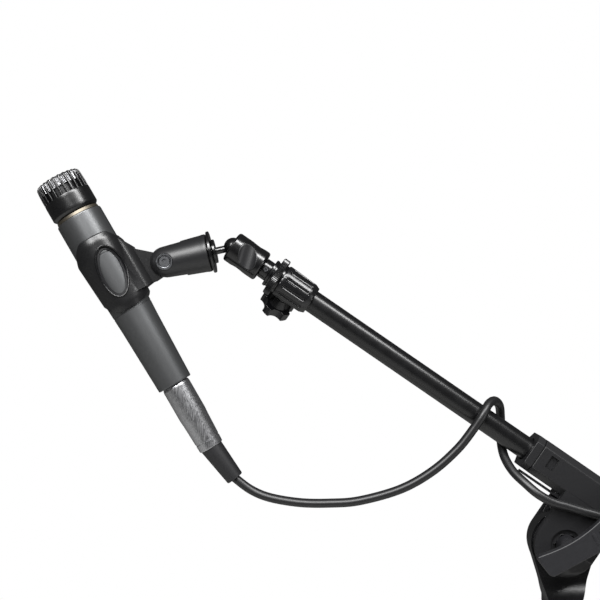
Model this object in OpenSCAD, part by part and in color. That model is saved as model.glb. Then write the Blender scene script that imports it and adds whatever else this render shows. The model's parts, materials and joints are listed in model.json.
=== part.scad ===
/* [Stand] */
// Height of the boom's tilt pivot above the floor
pivot_height = 1000; // [990:5:1040]
// Radius of the circle that the feet stand on
foot_circle_r = 320; // [300:5:325]
// Outer diameter of the lower mast tube
lower_mast_d = 25; // [24:0.5:26]
// Outer diameter of the upper mast tube
upper_mast_d = 20; // [19:0.5:20]
// Top of the lower mast tube above the floor
lower_mast_top = 835; // [820:5:840]

/* [Boom] */
// Rise of the boom above level, in degrees
boom_rise = 34.5; // [30:0.5:36]
// Distance from the tilt pivot to the boom's axis
boom_offset = 38; // [37:0.5:39]
// Outer diameter of the sliding boom tube
inner_boom_d = 15.4; // [15:0.1:15.6]
// Outer diameter of the fixed boom tube
outer_boom_d = 20; // [20:0.5:20.5]
// Length of boom behind the pivot
boom_tail = 396; // [380:1:410]
// Distance from the pivot to the front face of the clamp housing
housing_nose = 54.7; // [53:0.1:56]
// Distance from the pivot to the rear end of the ribbed collar
collar_rear = 231; // [225:1:236]

/* [Ball head and clip] */
// Radius of the ball
ball_r = 6.5; // [6:0.1:6.5]
// Drop of the clip arm below level, in degrees
arm_drop = 12.5; // [10:0.5:14]
// Distance from the ball to the clip's hinge bolt
arm_len = 46.5; // [46:0.1:48]

/* [Microphone] */
// Tilt of the microphone from upright, in degrees
mic_lean = 30; // [28:0.5:32]
// Largest radius of the microphone's front body
mic_r = 16.1; // [16:0.1:16.3]
// Radius at the connector end
mic_tail_r = 12.1; // [11.8:0.1:12.5]

/* [Cable] */
// Outer diameter of the microphone cable
cord_d = 6.1; // [5.8:0.1:6.2]

/* [Hidden] */
$fn = 48;

// Gap between faces that slide or turn on each other
running_gap = 0.05;
// Gap between parts that only pass each other
free_gap = 0.3;
// Cuts run past a face by this much
over = 1;

// Legs
leg_azimuths = [180, 60, 300];
hinge_r = 34;
hinge_z = 88;
leg_tube_r = 9;
leg_wall = 1.5;
tongue_t = 9.6;
pin_r = 3;
foot_r = 11.5;
foot_axis_z = 11;
leg_run = foot_circle_r - hinge_r;
leg_slope = atan((hinge_z - foot_axis_z) / leg_run);
leg_len = leg_run / cos(leg_slope);

// Hub
hub_r = 22;
hub_z = [66, 108];
lug_t = 4;
lug_r = 9;
lug_slot = tongue_t + 0.8;
mast_socket_z = hub_z[0] + 6;
knob_stem_r = 4;
clutch_thread_r = 14;
clutch_grip_r = 18.5;
knob_azimuth = 120;

// Mast
wall = 1.5;
lower_r = lower_mast_d / 2;
upper_r = upper_mast_d / 2;
upper_bottom = 165;
upper_top = pivot_height - 52;
stud_r = 4.76;
clutch_z = [lower_mast_top - 35, lower_mast_top + 11, lower_mast_top + 49];

// Tilt joint
bracket_r = 22;
plate_r = 21;
tongue_half = 6;
disc_t = 2.2;
plate_y = [8.5, 13];
bolt_r = 4;
neck_r = 11.2;
neck_bottom = -42.7;
neck_top = -38;
flare_h = 15;
lever_angle = 28;
lever_w = 19;

// Boom
inner_r = inner_boom_d / 2;
outer_r = outer_boom_d / 2;
sleeve_in_r = inner_r + 0.5;
housing_rear = -60;
housing_half = [13, 12.5];
housing_chamfer = 4.5;
nose_len = 5.8;
collet_len = 9;
inner_tail = -195;
collar_len = 25;
collar_front = collar_rear + collar_len;
disc_at = collar_front + 2.5;
washer_at = disc_at + 4.7;
neck_at = washer_at + 2;
sleeve_at = neck_at + 6.2;
sleeve_len = 25.2;
sleeve_r = 10.75;
ball_at = sleeve_at + sleeve_len - 1.5;
knob_at = collar_front - 7;

// Microphone, measured from a point on its axis beside the clip
mic_x = -300;
mic_rise = 173.7;
head_top = 81.4;
slot_bottom = 67.8;
band_bottom = 56.6;
body_top = 51.9;
mic_tail = -78;
mic_wall = 2;
waist_z = -30;
waist_r = 13.5;
full_z = 22;
socket_r = 8.25;
head_in_r = 15;
capsule_r = 12.2;
rib_count = 24;
clip_z = [-19, 34];
clip_t = 2.3;
clip_neck_t = 8;
shell_end = -127;
boot_len = 26.5;
boot_bend = 7;

// Cable route: the first points are measured from the tilt pivot, the last from the floor
cord_r = cord_d / 2;
route_above = [[-221, 0, 43], [-210, -1, 35], [-197, -3, 30], [-177, -5, 27], [-157, -7, 27],
    [-137, -9, 29], [-110, -11, 37], [-89, -12, 49], [-72, -12, 64], [-61, -12, 78],
    [-55, -12, 87], [-51, -8, 93], [-46, -2, 95], [-41, 6, 91], [-39, 12, 82], [-39, 12, 73],
    [-39, 9, 64], [-38, 2, 56], [-34, -6, 48], [-27, -13, 41], [-20, -17, 35], [-11, -18, 30],
    [-1, -18, 27], [9, -18, 24], [20, -18, 21], [35, -18, 15], [48, -18, 4], [57, -18, -12],
    [62, -19, -32], [64, -19, -60], [64, -19, -140], [64, -19, -230]];
route_below = [[64, -19, 600], [64, -19, 400], [64, -19, 200], [65, -22, 90], [70, -27, 35],
    [82, -31, 9], [100, -33, 3.5], [120, -33, 3.5], [150, -33, 3.5]];
route = concat([for (p = route_above) p + [0, 0, pivot_height]], route_below);
// Where one stretch of cable ends and the next begins, and rings per span of each
cord_cuts = [0, 3, 6, 9, 17, 24, 31, 40];
cord_steps = [2, 2, 2, 1, 1, 1, 1];
// each stretch stops this share of a step short of the next, so the two don't share skin
end_gap = 0.01;
cord_sides = 10;

// Coil of spare cable on the floor
coil_x = 150;
coil_mid_r = 33;
coil_turns_across = 3;
coil_floor = 0.2;
coil_size = coil_turns_across * cord_d;
plug_r = 9.5;
plug_y = 36;
plug_z = 9.7;
plug_boot_len = 24;
plug_boot_x = 129;
plug_len = 46;

function unit(v) = v / norm(v);

// A smooth curve through the route's points
function route_at(t) =
    let (n = len(route), i = min(floor(t), n - 2), f = t - i,
         a = route[max(i - 1, 0)], b = route[i], c = route[i + 1], d = route[min(i + 2, n - 1)])
    0.5 * (2 * b + (c - a) * f + (2 * a - 5 * b + 4 * c - d) * f * f
        + (3 * b - a - 3 * c + d) * f * f * f);

function route_along(t) =
    let (n = len(route), i = min(floor(t), n - 2), f = t - i,
         a = route[max(i - 1, 0)], b = route[i], c = route[i + 1], d = route[min(i + 2, n - 1)])
    unit(0.5 * ((c - a) + 2 * (2 * a - 5 * b + 4 * c - d) * f
        + 3 * (3 * b - a - 3 * c + d) * f * f));

// A side direction that is carried along the tangents without twisting
function carried(tangents, i) =
    i == 0 ? unit(cross(tangents[0], [0.2, 1, 0.3]))
    : let (side = carried(tangents, i - 1), t = tangents[i]) unit(side - (side * t) * t);

module tube(r_out, r_in, length) {
    difference() {
        cylinder(h = length, r = r_out);
        translate([0, 0, -over]) cylinder(h = length + 2 * over, r = r_in);
    }
}

module along_x(start = 0) {
    translate([start, 0, 0]) rotate([0, 90, 0]) children();
}

// The children's X runs forward along the boom, Y to the near side and Z up from the boom
module at_boom() {
    translate([0, 0, pivot_height]) rotate([0, boom_rise, 0]) rotate([0, 0, 180])
        translate([0, 0, boom_offset]) children();
}

// The children's X runs from the ball to the clip's bolt
module at_ball() {
    at_boom() translate([ball_at, 0, 0]) rotate([0, boom_rise + arm_drop, 0]) children();
}

module at_mic() {
    translate([mic_x, 0, pivot_height + mic_rise]) rotate([0, -mic_lean, 0]) children();
}

// The children's X runs down a leg from its hinge
module at_leg(i) {
    rotate([0, 0, leg_azimuths[i]]) translate([hinge_r, 0, hinge_z])
        rotate([0, leg_slope, 0]) children();
}

module across(length) {
    rotate([90, 0, 0]) translate([0, 0, -length / 2]) children();
}

// ---- Base ----

module leg_lug() {
    difference() {
        union() {
            across(lug_slot + 2 * lug_t) cylinder(h = lug_slot + 2 * lug_t, r = lug_r);
            translate([-hinge_r + hub_r - 6, -lug_slot / 2 - lug_t, -lug_r])
                cube([hinge_r - hub_r + 6, lug_slot + 2 * lug_t, 2 * lug_r]);
        }
        translate([-hinge_r + hub_r + 2, -lug_slot / 2, -15]) cube([60, lug_slot, 30]);
        across(40) cylinder(h = 40, r = pin_r);
    }
}

module leg_hub() {
    color("#1c1c1e") difference() {
        union() {
            translate([0, 0, hub_z[0]]) cylinder(h = hub_z[1] - hub_z[0], r = hub_r);
            translate([0, 0, hub_z[1]]) cylinder(h = 10, r = hub_r - 4);
            for (a = leg_azimuths) rotate([0, 0, a]) translate([hinge_r, 0, hinge_z]) leg_lug();
            rotate([0, 0, knob_azimuth]) translate([0, 0, hinge_z]) along_x(15)
                cylinder(h = 15, r = lug_r);
        }
        translate([0, 0, mast_socket_z]) cylinder(h = 60, r = lower_r);
        translate([0, 0, hub_z[0] - over]) cylinder(h = 10, r = 5);
        rotate([0, 0, knob_azimuth]) translate([0, 0, hinge_z]) along_x(10)
            cylinder(h = 30, r = knob_stem_r + running_gap);
    }
}

module lower_mast() {
    color("#141415") translate([0, 0, mast_socket_z])
        tube(lower_r, lower_r - wall, lower_mast_top - mast_socket_z);
}

module mast_bush() {
    color("#e8e6df") translate([0, 0, lower_mast_top - 40]) difference() {
        union() {
            cylinder(h = 40, r = lower_r - wall);
            translate([0, 0, 40]) cylinder(h = 4, r = lower_r);
        }
        translate([0, 0, -over]) cylinder(h = 50, r = upper_r + running_gap);
    }
}

module height_clutch_body() {
    color("#1a1a1b") translate([0, 0, clutch_z[0]]) difference() {
        union() {
            cylinder(h = 43, r = 16);
            translate([0, 0, 43]) cylinder(h = 3, r = 15);
            translate([0, 0, 46]) cylinder(h = 12, r = clutch_thread_r);
        }
        translate([0, 0, -over]) cylinder(h = 36 + over, r = lower_r);
        translate([0, 0, 34]) cylinder(h = 5.1, r = lower_r + 0.1);
        translate([0, 0, 38]) cylinder(h = 40, r = upper_r + 0.6);
    }
}

module height_clutch_ring() {
    ring_h = clutch_z[2] - clutch_z[1] - free_gap;
    color("#1a1a1b") translate([0, 0, clutch_z[1] + free_gap]) difference() {
        union() {
            cylinder(h = ring_h - 5, r = clutch_grip_r);
            translate([0, 0, ring_h - 5]) cylinder(h = 5, r1 = clutch_grip_r, r2 = clutch_grip_r - 3);
        }
        translate([0, 0, -over]) cylinder(h = 13 + over, r = clutch_thread_r + running_gap);
        translate([0, 0, 12]) cylinder(h = 60, r = upper_r + free_gap);
        for (a = [0 : 30 : 330]) rotate([0, 0, a]) translate([clutch_grip_r + 0.9, 0, 3])
            cylinder(h = ring_h - 10, r = 2);
    }
}

module hub_knob() {
    color("#151516") rotate([0, 0, knob_azimuth]) translate([0, 0, hinge_z]) {
        along_x(14) cylinder(h = 22, r = knob_stem_r);
        along_x(30 + free_gap) cylinder(h = 8, r1 = 8, r2 = 11);
        along_x(38) lobed_knob(13, 9, 4);
    }
}

// A hand knob with rounded lobes
module lobed_knob(tip_r, height, lobes) {
    difference() {
        cylinder(h = height, r = tip_r);
        for (i = [0 : lobes - 1]) rotate([0, 0, (i + 0.5) * 360 / lobes])
            translate([tip_r * 1.24, 0, -over]) cylinder(h = height + 2 * over, r = tip_r * 0.5);
    }
}

module leg(i) {
    color("#141415") at_leg(i) difference() {
        union() {
            across(tongue_t) cylinder(h = tongue_t, r = 7.8);
            translate([0, -tongue_t / 2, -7.5]) cube([40, tongue_t, 15]);
            along_x(30) tube(leg_tube_r, leg_tube_r - leg_wall, leg_len - 30);
        }
        across(30) cylinder(h = 30, r = pin_r + running_gap);
    }
}

module leg_pins() {
    pin_len = lug_slot + 2 * lug_t + 3;
    color("#9a9a9c") for (i = [0 : 2]) rotate([0, 0, leg_azimuths[i]])
        translate([hinge_r, 0, hinge_z]) across(pin_len) cylinder(h = pin_len, r = pin_r);
}

module foot(i) {
    color("#101010") difference() {
        at_leg(i) difference() {
            union() {
                along_x(leg_len - 34) cylinder(h = 38, r = foot_r);
                along_x(leg_len - 38) cylinder(h = 4, r = foot_r - 1.2);
                translate([leg_len + 4, 0, 0]) sphere(r = foot_r);
            }
            along_x(leg_len - 40) cylinder(h = 40, r = leg_tube_r);
        }
        translate([-400, -400, -50]) cube([800, 800, 50]);
    }
}

// ---- Upper mast ----

module upper_mast() {
    color("#1a1a1b") translate([0, 0, upper_bottom])
        tube(upper_r, upper_r - wall, upper_top - upper_bottom);
}

module upper_mast_plug() {
    color("#e8e6df") translate([0, 0, upper_bottom - 8]) {
        cylinder(h = 8, r = lower_r - wall - running_gap);
        translate([0, 0, 8]) cylinder(h = 14, r = upper_r - wall);
    }
}

module mast_top_stud() {
    color("#303032") translate([0, 0, upper_top]) {
        translate([0, 0, -15]) cylinder(h = 15, r = upper_r - wall);
        cylinder(h = 9, r = upper_r);
        translate([0, 0, 9]) cylinder(h = 14, r = stud_r);
    }
}

// ---- Tilt joint ----

module pivot_bracket() {
    side = concat([[neck_r, neck_bottom], [neck_r, neck_top]], [for (a = [15 : 15 : 90])
        [tongue_half + (neck_r - tongue_half) * (1 - sin(a)), neck_top + flare_h * (1 - cos(a))]],
        [[tongue_half, 30]]);
    mirrored = [for (i = [len(side) - 1 : -1 : 0]) [-side[i][0], side[i][1]]];
    color("#19191b") translate([0, 0, pivot_height]) difference() {
        union() {
            intersection() {
                across(40) linear_extrude(height = 40) union() {
                    circle(r = bracket_r);
                    polygon([[-20, -9.2], [-neck_r, neck_top], [-neck_r, neck_bottom],
                        [neck_r, neck_bottom], [neck_r, neck_top], [20, -9.2]]);
                }
                rotate([90, 0, 90]) translate([0, 0, -30]) linear_extrude(height = 60)
                    polygon(concat(side, mirrored));
            }
            translate([0, 0, neck_bottom]) cylinder(h = 6, r = neck_r);
        }
        across(60) cylinder(h = 60, r = bolt_r);
        translate([0, 0, neck_bottom - over]) cylinder(h = 15 + over, r = stud_r + running_gap);
    }
}

module friction_discs() {
    color("#8d8d90") translate([0, 0, pivot_height]) for (side = [-1, 1])
        translate([0, side * (tongue_half + disc_t / 2), 0]) across(disc_t) difference() {
            cylinder(h = disc_t, r = plate_r - 0.5);
            translate([0, 0, -over]) cylinder(h = disc_t + 2 * over, r = bolt_r);
        }
}

module pivot_bolt() {
    color("#77777a") translate([0, 0, pivot_height]) {
        rotate([90, 0, 0]) translate([0, 0, -19]) cylinder(h = 41, r = bolt_r);
        rotate([90, 0, 0]) translate([0, 0, -19]) cylinder(h = 5.5, r = 7.5, $fn = 6);
    }
}

module tilt_lever() {
    hub_y = -plate_y[1] - 3.5;
    color("#3a3a3d") translate([0, 0, pivot_height]) difference() {
        union() {
            translate([0, -10.4, 0]) rotate([90, 0, 0]) cylinder(h = 8, r = 7);
            translate([0, hub_y, 0]) rotate([90, 0, 0]) cylinder(h = 7.5, r = 17.7);
            translate([0, hub_y - 7, 0]) rotate([90, 0, 0]) rotate([0, 0, lever_angle])
                linear_extrude(height = 5.5) polygon([[-21, 7], [-25, 1], [-21, -9.5],
                    [70, -lever_w / 2 + 1], [78, -5], [80, 0], [78, 5], [70, lever_w / 2 - 1],
                    [10, lever_w / 2 - 1], [-8, lever_w / 2 - 2]]);
        }
        rotate([90, 0, 0]) translate([0, 0, 5]) cylinder(h = 17.2, r = bolt_r + running_gap);
    }
}

// ---- Boom ----

module clevis_plate() {
    linear_extrude(height = plate_y[1] - plate_y[0]) difference() {
        union() {
            circle(r = plate_r);
            translate([-plate_r, 0]) square([2 * plate_r, boom_offset - 8]);
        }
        circle(r = bolt_r + running_gap);
    }
}

module clamp_housing() {
    w = housing_half[0];
    h = housing_half[1];
    c = housing_chamfer;
    rear = housing_rear;
    nose = housing_nose;
    color("#47474a") at_boom() difference() {
        union() {
            intersection() {
                along_x(rear) linear_extrude(height = nose - rear) polygon([[-h + c, -w],
                    [h - c, -w], [h, -w + c], [h, w - c], [h - c, w], [-h + c, w],
                    [-h, w - c], [-h, -w + c]]);
                across(60) linear_extrude(height = 60) polygon([[rear, -h], [nose - nose_len, -h],
                    [nose, -h + 2.6], [nose, h - 2.6], [nose - nose_len, h], [rear, h]]);
                translate([0, 0, -30]) linear_extrude(height = 60) polygon([[rear, -w],
                    [nose - nose_len, -w], [nose, -w + 2.6], [nose, w - 2.6],
                    [nose - nose_len, w], [rear, w]]);
            }
            for (side = [-1, 1])
                translate([0, side * (plate_y[0] + plate_y[1]) / 2, -boom_offset])
                    rotate([90, 0, 0]) translate([0, 0, -(plate_y[1] - plate_y[0]) / 2])
                        clevis_plate();
        }
        along_x(rear - over) cylinder(h = nose - 1.7 - rear + over, r = outer_r);
        along_x(nose - 5) cylinder(h = 10, r = inner_r + 0.8);
        translate([31.6, plate_y[0], -2.9]) cube([5.8, 10, 8.6]);
        translate([0, plate_y[1] - 3, -boom_offset]) rotate([-90, 0, 0]) cylinder(h = 5, r = 10.5);
    }
}

module clamp_lip() {
    color("#58585b") at_boom() {
        translate([20, -6, -15.6]) cube([30, 12, 1.6]);
        translate([20, -6, -15.6]) cube([4, 12, 15.6 - housing_half[1]]);
    }
}

module boom_outer_tube() {
    color("#141415") at_boom() along_x(-boom_tail + 8)
        tube(outer_r, sleeve_in_r, boom_tail - 8 + housing_nose - 1.7 - collet_len);
}

module boom_end_cap() {
    color("#101011") at_boom() {
        along_x(-boom_tail) cylinder(h = 8, r = outer_r);
        along_x(-boom_tail + 8) cylinder(h = 12, r = sleeve_in_r);
    }
}

module clamp_collet() {
    color("#2a2a2b") at_boom() along_x(housing_nose - 1.7 - collet_len + free_gap)
        tube(outer_r - running_gap, inner_r + running_gap, collet_len - 2 * free_gap);
}

module boom_inner_tube() {
    color("#141415") at_boom() along_x(inner_tail)
        tube(inner_r, inner_r - 1.2, collar_rear + 14 - inner_tail);
}

module inner_tube_plug() {
    color("#e8e6df") at_boom() {
        along_x(inner_tail - 7) cylinder(h = 7, r = sleeve_in_r - running_gap);
        along_x(inner_tail) cylinder(h = 12, r = inner_r - 1.2);
    }
}

module tube_collar() {
    color("#151516") at_boom() difference() {
        union() {
            along_x(collar_rear + 3) cylinder(h = collar_len - 3, r1 = 10.7, r2 = 11.5);
            along_x(collar_rear) cylinder(h = 3, r1 = 9.6, r2 = 10.7);
            translate([knob_at, 0, 0]) rotate([135, 0, 0]) cylinder(h = 12.5, r = 5.5);
        }
        along_x(collar_rear - over) cylinder(h = 14 + over, r = inner_r);
        along_x(collar_rear + 12) cylinder(h = 20, r = stud_r);
        for (a = [15 : 30 : 345]) rotate([a, 0, 0]) translate([0, 0, 12.1]) along_x(collar_rear + 4)
            cylinder(h = collar_len - 7, r = 1.5);
        translate([knob_at, 0, 0]) rotate([135, 0, 0]) translate([0, 0, 5.5])
            cylinder(h = 12, r = 2.5 + running_gap);
    }
}

module boom_stud() {
    color("#a5a5a8") at_boom() along_x(collar_rear + 14)
        cylinder(h = neck_at - collar_rear - 14, r = stud_r);
}

module lock_disc() {
    color("#3c3c3f") at_boom() along_x(disc_at) tube(13.8, stud_r + running_gap, 3.4);
}

module step_washer() {
    color("#2f2f31") at_boom() along_x(washer_at) tube(9.8, stud_r, 2);
}

module ball_socket() {
    color("#2b2b2d") at_boom() difference() {
        union() {
            along_x(neck_at) cylinder(h = 6, r = 7);
            along_x(neck_at + 6) cylinder(h = ball_at - neck_at - 11, r = 5);
        }
        translate([ball_at, 0, 0]) sphere(r = ball_r + running_gap);
        translate([neck_at + 3, 3.5, 0]) rotate([-90, 0, 0]) cylinder(h = 5, r = 1.5);
    }
}

module socket_screw() {
    color("#b0b0b3") at_boom() translate([neck_at + 3, 3.5, 0]) rotate([-90, 0, 0])
        difference() {
            cylinder(h = 3.8, r = 1.5);
            translate([0, 0, 2.4]) cylinder(h = 3, r = 0.7, $fn = 6);
        }
}

module lock_sleeve() {
    color("#0d0d0e") at_boom() difference() {
        union() {
            along_x(sleeve_at + 1.2) cylinder(h = sleeve_len - 2.4, r = sleeve_r);
            along_x(sleeve_at) cylinder(h = 1.2, r1 = sleeve_r - 1.2, r2 = sleeve_r);
            along_x(sleeve_at + sleeve_len - 1.2)
                cylinder(h = 1.2, r1 = sleeve_r, r2 = sleeve_r - 1.2);
        }
        along_x(sleeve_at - over) cylinder(h = ball_at - 6 - sleeve_at, r = 5 + running_gap);
        along_x(ball_at - 7) cylinder(h = 7, r = ball_r + running_gap);
        translate([ball_at, 0, 0]) sphere(r = ball_r + running_gap);
        along_x(ball_at) cylinder(h = 1.6 + over, r1 = 3.9, r2 = 6.2);
        for (a = [0, 120, 240]) rotate([a, 0, 0]) translate([sleeve_at + 13, 21.8, 0])
            rotate([0, 18, 0]) translate([0, 0, -20]) cylinder(h = 40, r = 14);
    }
}

module star_knob() {
    color("#141415") at_boom() translate([knob_at, 0, 0]) rotate([135, 0, 0]) {
        translate([0, 0, 6]) cylinder(h = 10, r = 2.5);
        translate([0, 0, 12.5 + free_gap]) cylinder(h = 5, r1 = 5, r2 = 8);
        translate([0, 0, 17.5]) lobed_knob(12, 7, 5);
    }
}

// ---- Ball arm and clip base ----

module ball_stud() {
    color("#3d3d40") at_ball() {
        sphere(r = ball_r);
        along_x(3) cylinder(h = 26, r = 2.45);
    }
}

module stud_nut() {
    color("#2c2c2e") at_ball() along_x(12) tube(8.1, 2.45 + running_gap, 2);
}

module thread_adapter() {
    color("#3a3a3c") at_ball() {
        along_x(14.3) tube(14.2, 2.45, 1.9);
        along_x(16.2) tube(7.9, 2.45, 9);
    }
}

module clip_base() {
    barrel = arm_len - 17;
    color("#2e2e30") at_ball() difference() {
        union() {
            along_x(17) cylinder(h = barrel, r1 = 12.8, r2 = 11.2);
            translate([arm_len, 0, 0]) sphere(r = 11.2);
        }
        along_x(17 - over) cylinder(h = 9.2 + over, r = 7.9);
        along_x(20) cylinder(h = 10, r = 2.6);
        translate([arm_len - 12.5, -clip_neck_t / 2 - free_gap, -20])
            cube([40, clip_neck_t + 2 * free_gap, 40]);
        translate([arm_len, 0, 0]) across(40) cylinder(h = 40, r = 2.5);
        for (side = [-1, 1]) translate([arm_len, side * 11.2, 0]) across(4)
            cylinder(h = 4, r = 4.4);
    }
}

module clip_bolt() {
    color("#8f8f92") at_ball() translate([arm_len, 0, 0]) {
        across(18.4) cylinder(h = 18.4, r = 2.5);
        translate([0, 9.9, 0]) across(1.4) difference() {
            cylinder(h = 1.4, r = 4.3);
            translate([0, 0, -over]) cylinder(h = 4, r = 1.9, $fn = 6);
        }
        translate([0, -9.9, 0]) across(1.4) difference() {
            cylinder(h = 1.4, r = 4.3);
            translate([0, 0, -over]) cylinder(h = 4, r = 1.9, $fn = 6);
        }
    }
}

// ---- Microphone and its clip ----

// Place of the clip's bolt in the microphone's frame
bolt_world = let (s = ball_at, b = boom_rise, d = arm_drop)
    [-s * cos(b) + boom_offset * sin(b) - arm_len * cos(d),
     s * sin(b) + boom_offset * cos(b) - arm_len * sin(d)];
bolt_from_mic = let (dx = bolt_world[0] - mic_x, dz = bolt_world[1] - mic_rise)
    [dx * cos(mic_lean) + dz * sin(mic_lean), -dx * sin(mic_lean) + dz * cos(mic_lean)];

function body_r(z) = mic_r - (mic_r - waist_r) * max(0, full_z - z) / (full_z - waist_z);

// The body's outline beside the clip, grown outwards and past both ends of the clip
module clip_shell(grow, past) {
    low = clip_z[0] - past;
    high = clip_z[1] + past;
    rotate_extrude() polygon([[0, low], [body_r(low) + grow, low], [mic_r + grow, full_z],
        [mic_r + grow, high], [0, high]]);
}

module mic_clip() {
    bx = bolt_from_mic[0];
    bz = bolt_from_mic[1];
    color("#262628") at_mic() difference() {
        union() {
            difference() {
                union() {
                    clip_shell(clip_t, 0);
                    across(clip_neck_t) linear_extrude(height = clip_neck_t)
                        polygon([[8, 24], [17.5, 24], [bx - 3, bz + 7], [bx + 3, bz - 7],
                            [24, -13], [8, -13]]);
                }
                clip_shell(0, over);
                translate([-30, -12, -50]) cube([30, 24, 120]);
                for (z = [-2, 15.5]) translate([0, 0, z]) across(50) cylinder(h = 50, r = 7.8);
                translate([-7.8, -25, -2]) cube([15.6, 50, 17.5]);
            }
            translate([bx, 0, bz]) across(clip_neck_t) cylinder(h = clip_neck_t, r = 8.2);
        }
        translate([bx, 0, bz]) across(30) cylinder(h = 30, r = 2.5 + running_gap);
    }
}

module mic_body() {
    outer = [[mic_tail_r - 0.8, mic_tail], [mic_tail_r, mic_tail + 0.8], [waist_r, waist_z],
        [mic_r, full_z], [mic_r, body_top - 0.6], [mic_r - 0.6, body_top]];
    inner = [[mic_r - mic_wall, body_top], [mic_r - mic_wall, full_z],
        [waist_r - mic_wall, waist_z], [socket_r, -58], [socket_r, mic_tail]];
    color("#3f4043") at_mic() rotate_extrude() polygon(concat(outer, inner));
}

module mic_neck_ring() {
    color("#b9b0a0") at_mic() translate([0, 0, body_top]) tube(mic_r - 1.2, 11, 2.3);
}

module mic_head() {
    top = head_top - 2;
    color("#0f0f10") at_mic() difference() {
        union() {
            translate([0, 0, body_top + 2.3]) cylinder(h = 2.4, r1 = 14.2, r2 = 16.4);
            translate([0, 0, band_bottom]) cylinder(h = top - band_bottom, r = 16.2);
            translate([0, 0, top]) cylinder(h = 2, r1 = 16.2, r2 = 14.6);
        }
        translate([0, 0, band_bottom + 1.2])
            cylinder(h = head_top - 1.6 - band_bottom - 1.2, r = head_in_r);
        translate([0, 0, body_top]) cylinder(h = 8, r = capsule_r);
        translate([0, 0, top - 2]) cylinder(h = 6, r = 10);
        for (i = [0 : rib_count - 1]) rotate([0, 0, i * 360 / rib_count])
            translate([9, -1.15, slot_bottom]) cube([10, 2.3, 20]);
    }
}

module mic_mesh() {
    mesh_h = head_top - 1.6 - slot_bottom + 3;
    color("#8e8e90") at_mic() translate([0, 0, slot_bottom - 3]) difference() {
        cylinder(h = mesh_h, r = head_in_r);
        translate([0, 0, -over]) cylinder(h = mesh_h - 1 + over, r = head_in_r - 0.8);
    }
}

module mic_capsule() {
    color("#b7a372") at_mic() translate([0, 0, body_top + 1]) {
        cylinder(h = 18, r = 10.9);
        translate([0, 0, 3]) cylinder(h = 12, r = capsule_r);
    }
}

module mic_connector() {
    color("#2a2a2b") at_mic() translate([0, 0, mic_tail + 17.5]) {
        cylinder(h = 2, r = socket_r);
        for (a = [90, 210, 330]) rotate([0, 0, a]) translate([4, 0, -10])
            cylinder(h = 11, r = 1.1);
    }
}

module xlr_shell() {
    color("#c9c9cc") at_mic() difference() {
        rotate_extrude() polygon([[0, mic_tail + 16], [7.6, mic_tail + 16], [7.9, mic_tail + 15],
            [7.9, mic_tail], [9.7, mic_tail], [9.7, mic_tail - 22],
            [9.4, mic_tail - 26], [8.6, shell_end], [0, shell_end]]);
        for (a = [90, 210, 330]) rotate([0, 0, a]) translate([4, 0, mic_tail + 5])
            cylinder(h = 12, r = 1.2);
        translate([-2.6, 7.2, mic_tail - 12]) cube([5.2, 4, 10]);
    }
}

module xlr_latch() {
    color("#9c9c9f") at_mic() translate([-2.3, 8.2, mic_tail - 11.7]) cube([4.6, 2.6, 9.4]);
}

module xlr_boot() {
    color("#1b1b1c") at_mic() translate([0, 0, shell_end]) rotate([0, 180 - boot_bend, 0])
        difference() {
            translate([0, 0, -over]) cylinder(h = boot_len + over, r1 = 7.6, r2 = 6);
            rotate([0, boot_bend, 0]) translate([-20, -20, -10]) cube([40, 40, 10]);
        }
}

// ---- Cable ----

module cord(k) {
    n = (cord_cuts[k + 1] - cord_cuts[k]) * cord_steps[k];
    last_gap = k < 6 ? end_gap : 0;
    places = [for (i = [0 : n]) cord_cuts[k] + i / cord_steps[k] - (i == n ? last_gap : 0)];
    centres = [for (t = places) route_at(t)];
    tangents = [for (t = places) route_along(t)];
    sides = [for (i = [0 : n]) carried(tangents, i)];
    points = [for (i = [0 : n], j = [0 : cord_sides - 1])
        let (a = j * 360 / cord_sides, up = cross(tangents[i], sides[i]))
        centres[i] + cord_r * (cos(a) * sides[i] + sin(a) * up)];
    skin = [for (i = [0 : n - 1], j = [0 : cord_sides - 1])
        let (m = (j + 1) % cord_sides, a = i * cord_sides, b = a + cord_sides)
        each [[a + j, b + j, b + m], [a + j, b + m, a + m]]];
    start_face = [for (j = [0 : cord_sides - 1]) j];
    end_face = [for (j = [cord_sides - 1 : -1 : 0]) n * cord_sides + j];
    color("#2b2b2c") polyhedron(points = points, faces = concat(skin, [start_face, end_face]));
}

module cord_coil() {
    color("#2b2b2c") translate([coil_x, 0, 0]) rotate_extrude() translate([coil_mid_r -
        coil_size / 2, coil_floor]) square([coil_size, coil_size]);
}

module plug_boot() {
    color("#1b1b1c") translate([plug_boot_x, plug_y, plug_z]) rotate([0, -90, 0])
        cylinder(h = plug_boot_len, r1 = 4, r2 = 7.5);
}

module plug_shell() {
    color("#c9c9cc") translate([plug_boot_x - plug_boot_len, plug_y, plug_z]) rotate([0, -90, 0])
        difference() {
            union() {
                cylinder(h = 14, r1 = 8.2, r2 = plug_r);
                translate([0, 0, 14]) cylinder(h = plug_len - 14, r = plug_r);
            }
            translate([0, 0, plug_len - 16]) cylinder(h = 20, r = 8.4);
        }
}

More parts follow.
